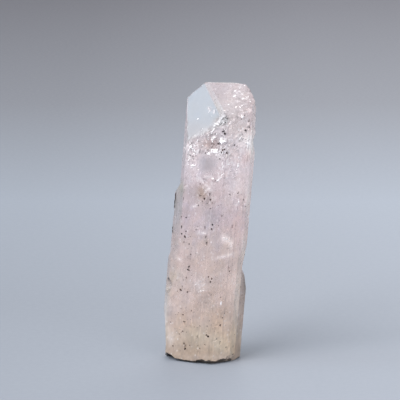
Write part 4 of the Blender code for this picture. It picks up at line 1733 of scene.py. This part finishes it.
@dataclass
class Veils:
    """Healed cracks inside the crystal, each a thin bent sheet."""

    skin: CrystalSkin
    seed: int = 14
    count: int = 34
    cells_each: int = 12
    depth_share: float = 0.84
    high_share: float = 0.6
    high_reach: Pair = (33.0, 46.5)
    low_reach: Pair = (5.0, 33.0)
    reach_u: Pair = (-3.2, 3.2)
    reach_v: Pair = (-2.4, 2.0)
    half_sizes: Pair = (0.9, 2.6)

    def spine_reach(self, points: Array) -> Array:
        """Greatest distance from the spine that the skin allows at each point, from its grid.

        Args:
            points: Positions in the crystal's axes, (n, 3).

        Returns:
            The distance, (n,).
        """
        profile_heights = self.skin.points[..., 2].mean(axis=1)
        order = np.argsort(profile_heights)
        row = order[np.clip(np.searchsorted(profile_heights[order], points[:, 2]), 0, len(order) - 1)]
        offset = self.skin.points - (self.skin.spine_u, self.skin.spine_v, 0.0)
        turns = np.arctan2(offset[..., 1], offset[..., 0])[row]
        wanted = np.arctan2(points[:, 1] - self.skin.spine_v, points[:, 0] - self.skin.spine_u)
        gap = np.abs(np.angle(np.exp(1j * (turns - wanted[:, None]))))
        column = gap.argmin(axis=1)
        radius = np.hypot(offset[..., 0], offset[..., 1])
        return radius[row, column]

    def build(self, finish: VeilFinish) -> bpy.types.Object:
        """Make the sheets.

        A square of p and q from -1 to 1 is rounded to a disc with p times the root of
        1 - q^2 / 2 across and q times the root of 1 - p^2 / 2 along. A sheet is that disc times
        its sizes, bent like a saddle and rippled along its normal. Points beyond the skin's
        reach are drawn in towards the spine.

        Args:
            finish: Their finish.

        Returns:
            The piece.
        """
        rng = np.random.default_rng(self.seed)
        is_high = rng.random(self.count) < self.high_share
        high = rng.uniform(*self.high_reach, self.count)
        height = np.where(is_high, high, rng.uniform(*self.low_reach, self.count))
        middle = np.column_stack([
            self.skin.spine_u + rng.uniform(*self.reach_u, self.count),
            self.skin.spine_v + rng.uniform(*self.reach_v, self.count),
            height,
        ])
        normal = unit(rng.normal(size=(self.count, 3)) * (0.8, 1.0, 0.7))
        first = unit(np.cross(normal, (0.3, 0.2, 0.93)))
        second = np.cross(normal, first)
        size = rng.uniform(*self.half_sizes, (self.count, 2))
        steps = np.linspace(-1.0, 1.0, self.cells_each + 1)
        p, q = np.meshgrid(steps, steps, indexing="ij")
        across = (p * np.sqrt(1.0 - 0.5 * q**2)).ravel()
        along = (q * np.sqrt(1.0 - 0.5 * p**2)).ravel()
        bend = 0.22 * (across**2 - along**2) + 0.10 * np.sin(3.0 * across + 2.0 * along)
        points = middle[:, None] + (
            across[:, None] * (size[:, :1] * first)[:, None]
            + along[:, None] * (size[:, 1:] * second)[:, None]
            + bend[:, None] * (size.mean(axis=1, keepdims=True) * normal)[:, None]
        )
        flat = points.reshape(-1, 3)
        spine = np.array([self.skin.spine_u, self.skin.spine_v])
        offset = flat[:, :2] - spine
        reach = self.depth_share * self.spine_reach(flat)
        share = np.minimum(1.0, reach / np.linalg.norm(offset, axis=1))
        flat[:, :2] = spine + offset * share[:, None]
        side = self.cells_each + 1
        faces = repeated(open_grid(side, side), self.count, side * side)
        world = self.skin.axes.to_world(flat)
        piece = mesh_piece("healed_cracks", world, faces, np.empty((0, 3), int))
        ride_on_crystal(piece, finish.material())
        return piece


@dataclass(frozen=True)
class SoftLight:
    """A soft light: where it hangs, its sides, power, aim and colour, in metres and watts."""

    name: str
    place: Triple
    sides: Pair
    power: float
    aim: Triple = (0.0, 0.0, 0.03)
    colour: Triple = (1.0, 0.98, 0.97)

    def build(self) -> bpy.types.Object:
        """Add the light.

        Returns:
            The light.
        """
        data = bpy.data.lights.new(self.name, "AREA")
        data.shape = "RECTANGLE"
        data.size, data.size_y = self.sides
        data.energy = self.power
        data.color = self.colour
        light = bpy.data.objects.new(self.name, data)
        light.location = self.place
        back = unit(np.array(self.place) - np.array(self.aim))
        light.rotation_euler = (math.acos(back[2]), 0.0, math.atan2(back[0], -back[1]))
        bpy.context.scene.collection.objects.link(light)
        return light


@dataclass
class Studio:
    """Plain pale floor and soft studio light."""

    floor_half: float = 3.0
    floor_steps: int = 41
    floor_depths: Pair = (-0.2, 0.8)
    floor_across: Pair = (-0.045, 0.045)
    # Painted light: the floor lightens from left to right.
    floor_painted_side_light: Pair = (0.91, 1.08)
    floor_gloss: float = 0.2
    floor_grain: Pattern = Pattern(900.0, (0.3, 0.7), (0.55, 0.65))
    world_colour: Colour = (0.95, 0.98, 1.04, 1.0)
    world_strength: float = 0.40

    LIGHTS = [
        SoftLight("key_softbox", (-0.48, -0.02, 0.31), (0.20, 0.24), 0.52, (0.0, 0.0, 0.045),
                  (0.80, 0.92, 1.0)),
        SoftLight("left_softbox", (-0.475, -0.475, 0.67), (0.62, 0.62), 8.2),
        SoftLight("top_softbox", (-0.10, -0.05, 0.90), (0.8, 0.8), 1.4, (0.0, 0.0, 0.0)),
        SoftLight("low_fill", (0.43, -0.81, 0.26), (0.6, 0.6), 3.7),
        SoftLight("back_fill", (0.25, 0.75, 0.50), (0.7, 0.7), 1.9),
        SoftLight("right_fill", (0.60, -0.25, 0.30), (0.5, 0.5), 0.35, colour=(1.0, 0.96, 0.94)),
    ]

    # Painted light falloff along the floor: place, from 0.2 m in front of the crystal to 0.8 m behind
    # it, and colour, brightest a little behind the crystal and darker further back.
    PAINTED_FALLOFF_BANDS = [
        (0.25, (0.319, 0.350, 0.404, 1.0)),
        (0.371, (0.365, 0.406, 0.471, 1.0)),
        (0.55, (0.280, 0.294, 0.333, 1.0)),
        (0.87, (0.220, 0.222, 0.251, 1.0)),
    ]

    def floor(self) -> bpy.types.Object:
        """Add the floor, whose grey-blue darkens away from the crystal and lightens to the right, as
        painted light falloff.

        Returns:
            The floor.
        """
        half = self.floor_half / METRES_PER_MM
        steps = np.linspace(-half, half, self.floor_steps)
        x, y = np.meshgrid(steps, steps, indexing="ij")
        quads = open_grid(self.floor_steps, self.floor_steps)
        points = np.stack([x, y, np.zeros_like(x)], axis=-1).reshape(-1, 3)
        piece = mesh_piece("studio_floor", points, quads, np.empty((0, 3), int))
        n = Nodes("studio_floor")
        parts = n.add("SeparateXYZ", Vector=n.add("TexCoord").outputs["Object"]).outputs
        # Painted light falloff along the floor, and painted light to the right.
        painted_falloff = n.add("ValToRGB", Fac=n.spread(parts[1], *self.floor_depths, 0.0, 1.0))
        stops = painted_falloff.color_ramp.elements
        stops[0].position, stops[0].color = self.PAINTED_FALLOFF_BANDS[0]
        stops[1].position, stops[1].color = self.PAINTED_FALLOFF_BANDS[-1]
        for position, colour in self.PAINTED_FALLOFF_BANDS[1:-1]:
            stops.new(position).color = colour
        sideways = n.spread(parts[0], *self.floor_across, *self.floor_painted_side_light)
        base = n.vector("SCALE", painted_falloff.outputs[0], sideways)
        rough = self.floor_grain.add(n)
        n.shade(Base_Color=base, Roughness=rough, Specular_IOR_Level=self.floor_gloss)
        piece.data.materials.append(n.material)
        return piece

    def build(self) -> None:
        """Add the floor, the lights and the light from all round."""
        self.floor()
        for light in self.LIGHTS:
            light.build()
        scene = bpy.context.scene
        world = bpy.data.worlds.new("studio_world")
        scene.world = world
        world.use_nodes = True
        background = world.node_tree.nodes["Background"]
        background.inputs["Color"].default_value = self.world_colour
        background.inputs["Strength"].default_value = self.world_strength
        scene.view_settings.view_transform = "Standard"
        scene.cycles.use_denoising = True


def write_sizes() -> None:
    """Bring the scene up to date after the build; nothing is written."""
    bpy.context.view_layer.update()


def report(piece: bpy.types.Object) -> None:
    """Log the name of a piece and its number of faces."""
    log.info("%s: %d faces", piece.name, len(piece.data.polygons))


def main() -> None:
    """Build the crystal and its studio, in order."""
    logging.basicConfig(level=logging.INFO, format="%(name)s: %(message)s")
    axes = CrystalAxes()
    view = FrontView()
    view.add_camera()
    Studio().build()
    skin = CrystalSkin(PackedSolid(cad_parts[NODE], axes), axes, view)
    report(skin.build(CrystalFinish()))
    finder = SurfaceFinder(skin)
    for piece in Flakes(finder).build():
        report(piece)
    report(Grains(finder).build())
    report(Veils(skin).build(VeilFinish()))
    write_sizes()


if __name__ == "__main__":
    main()
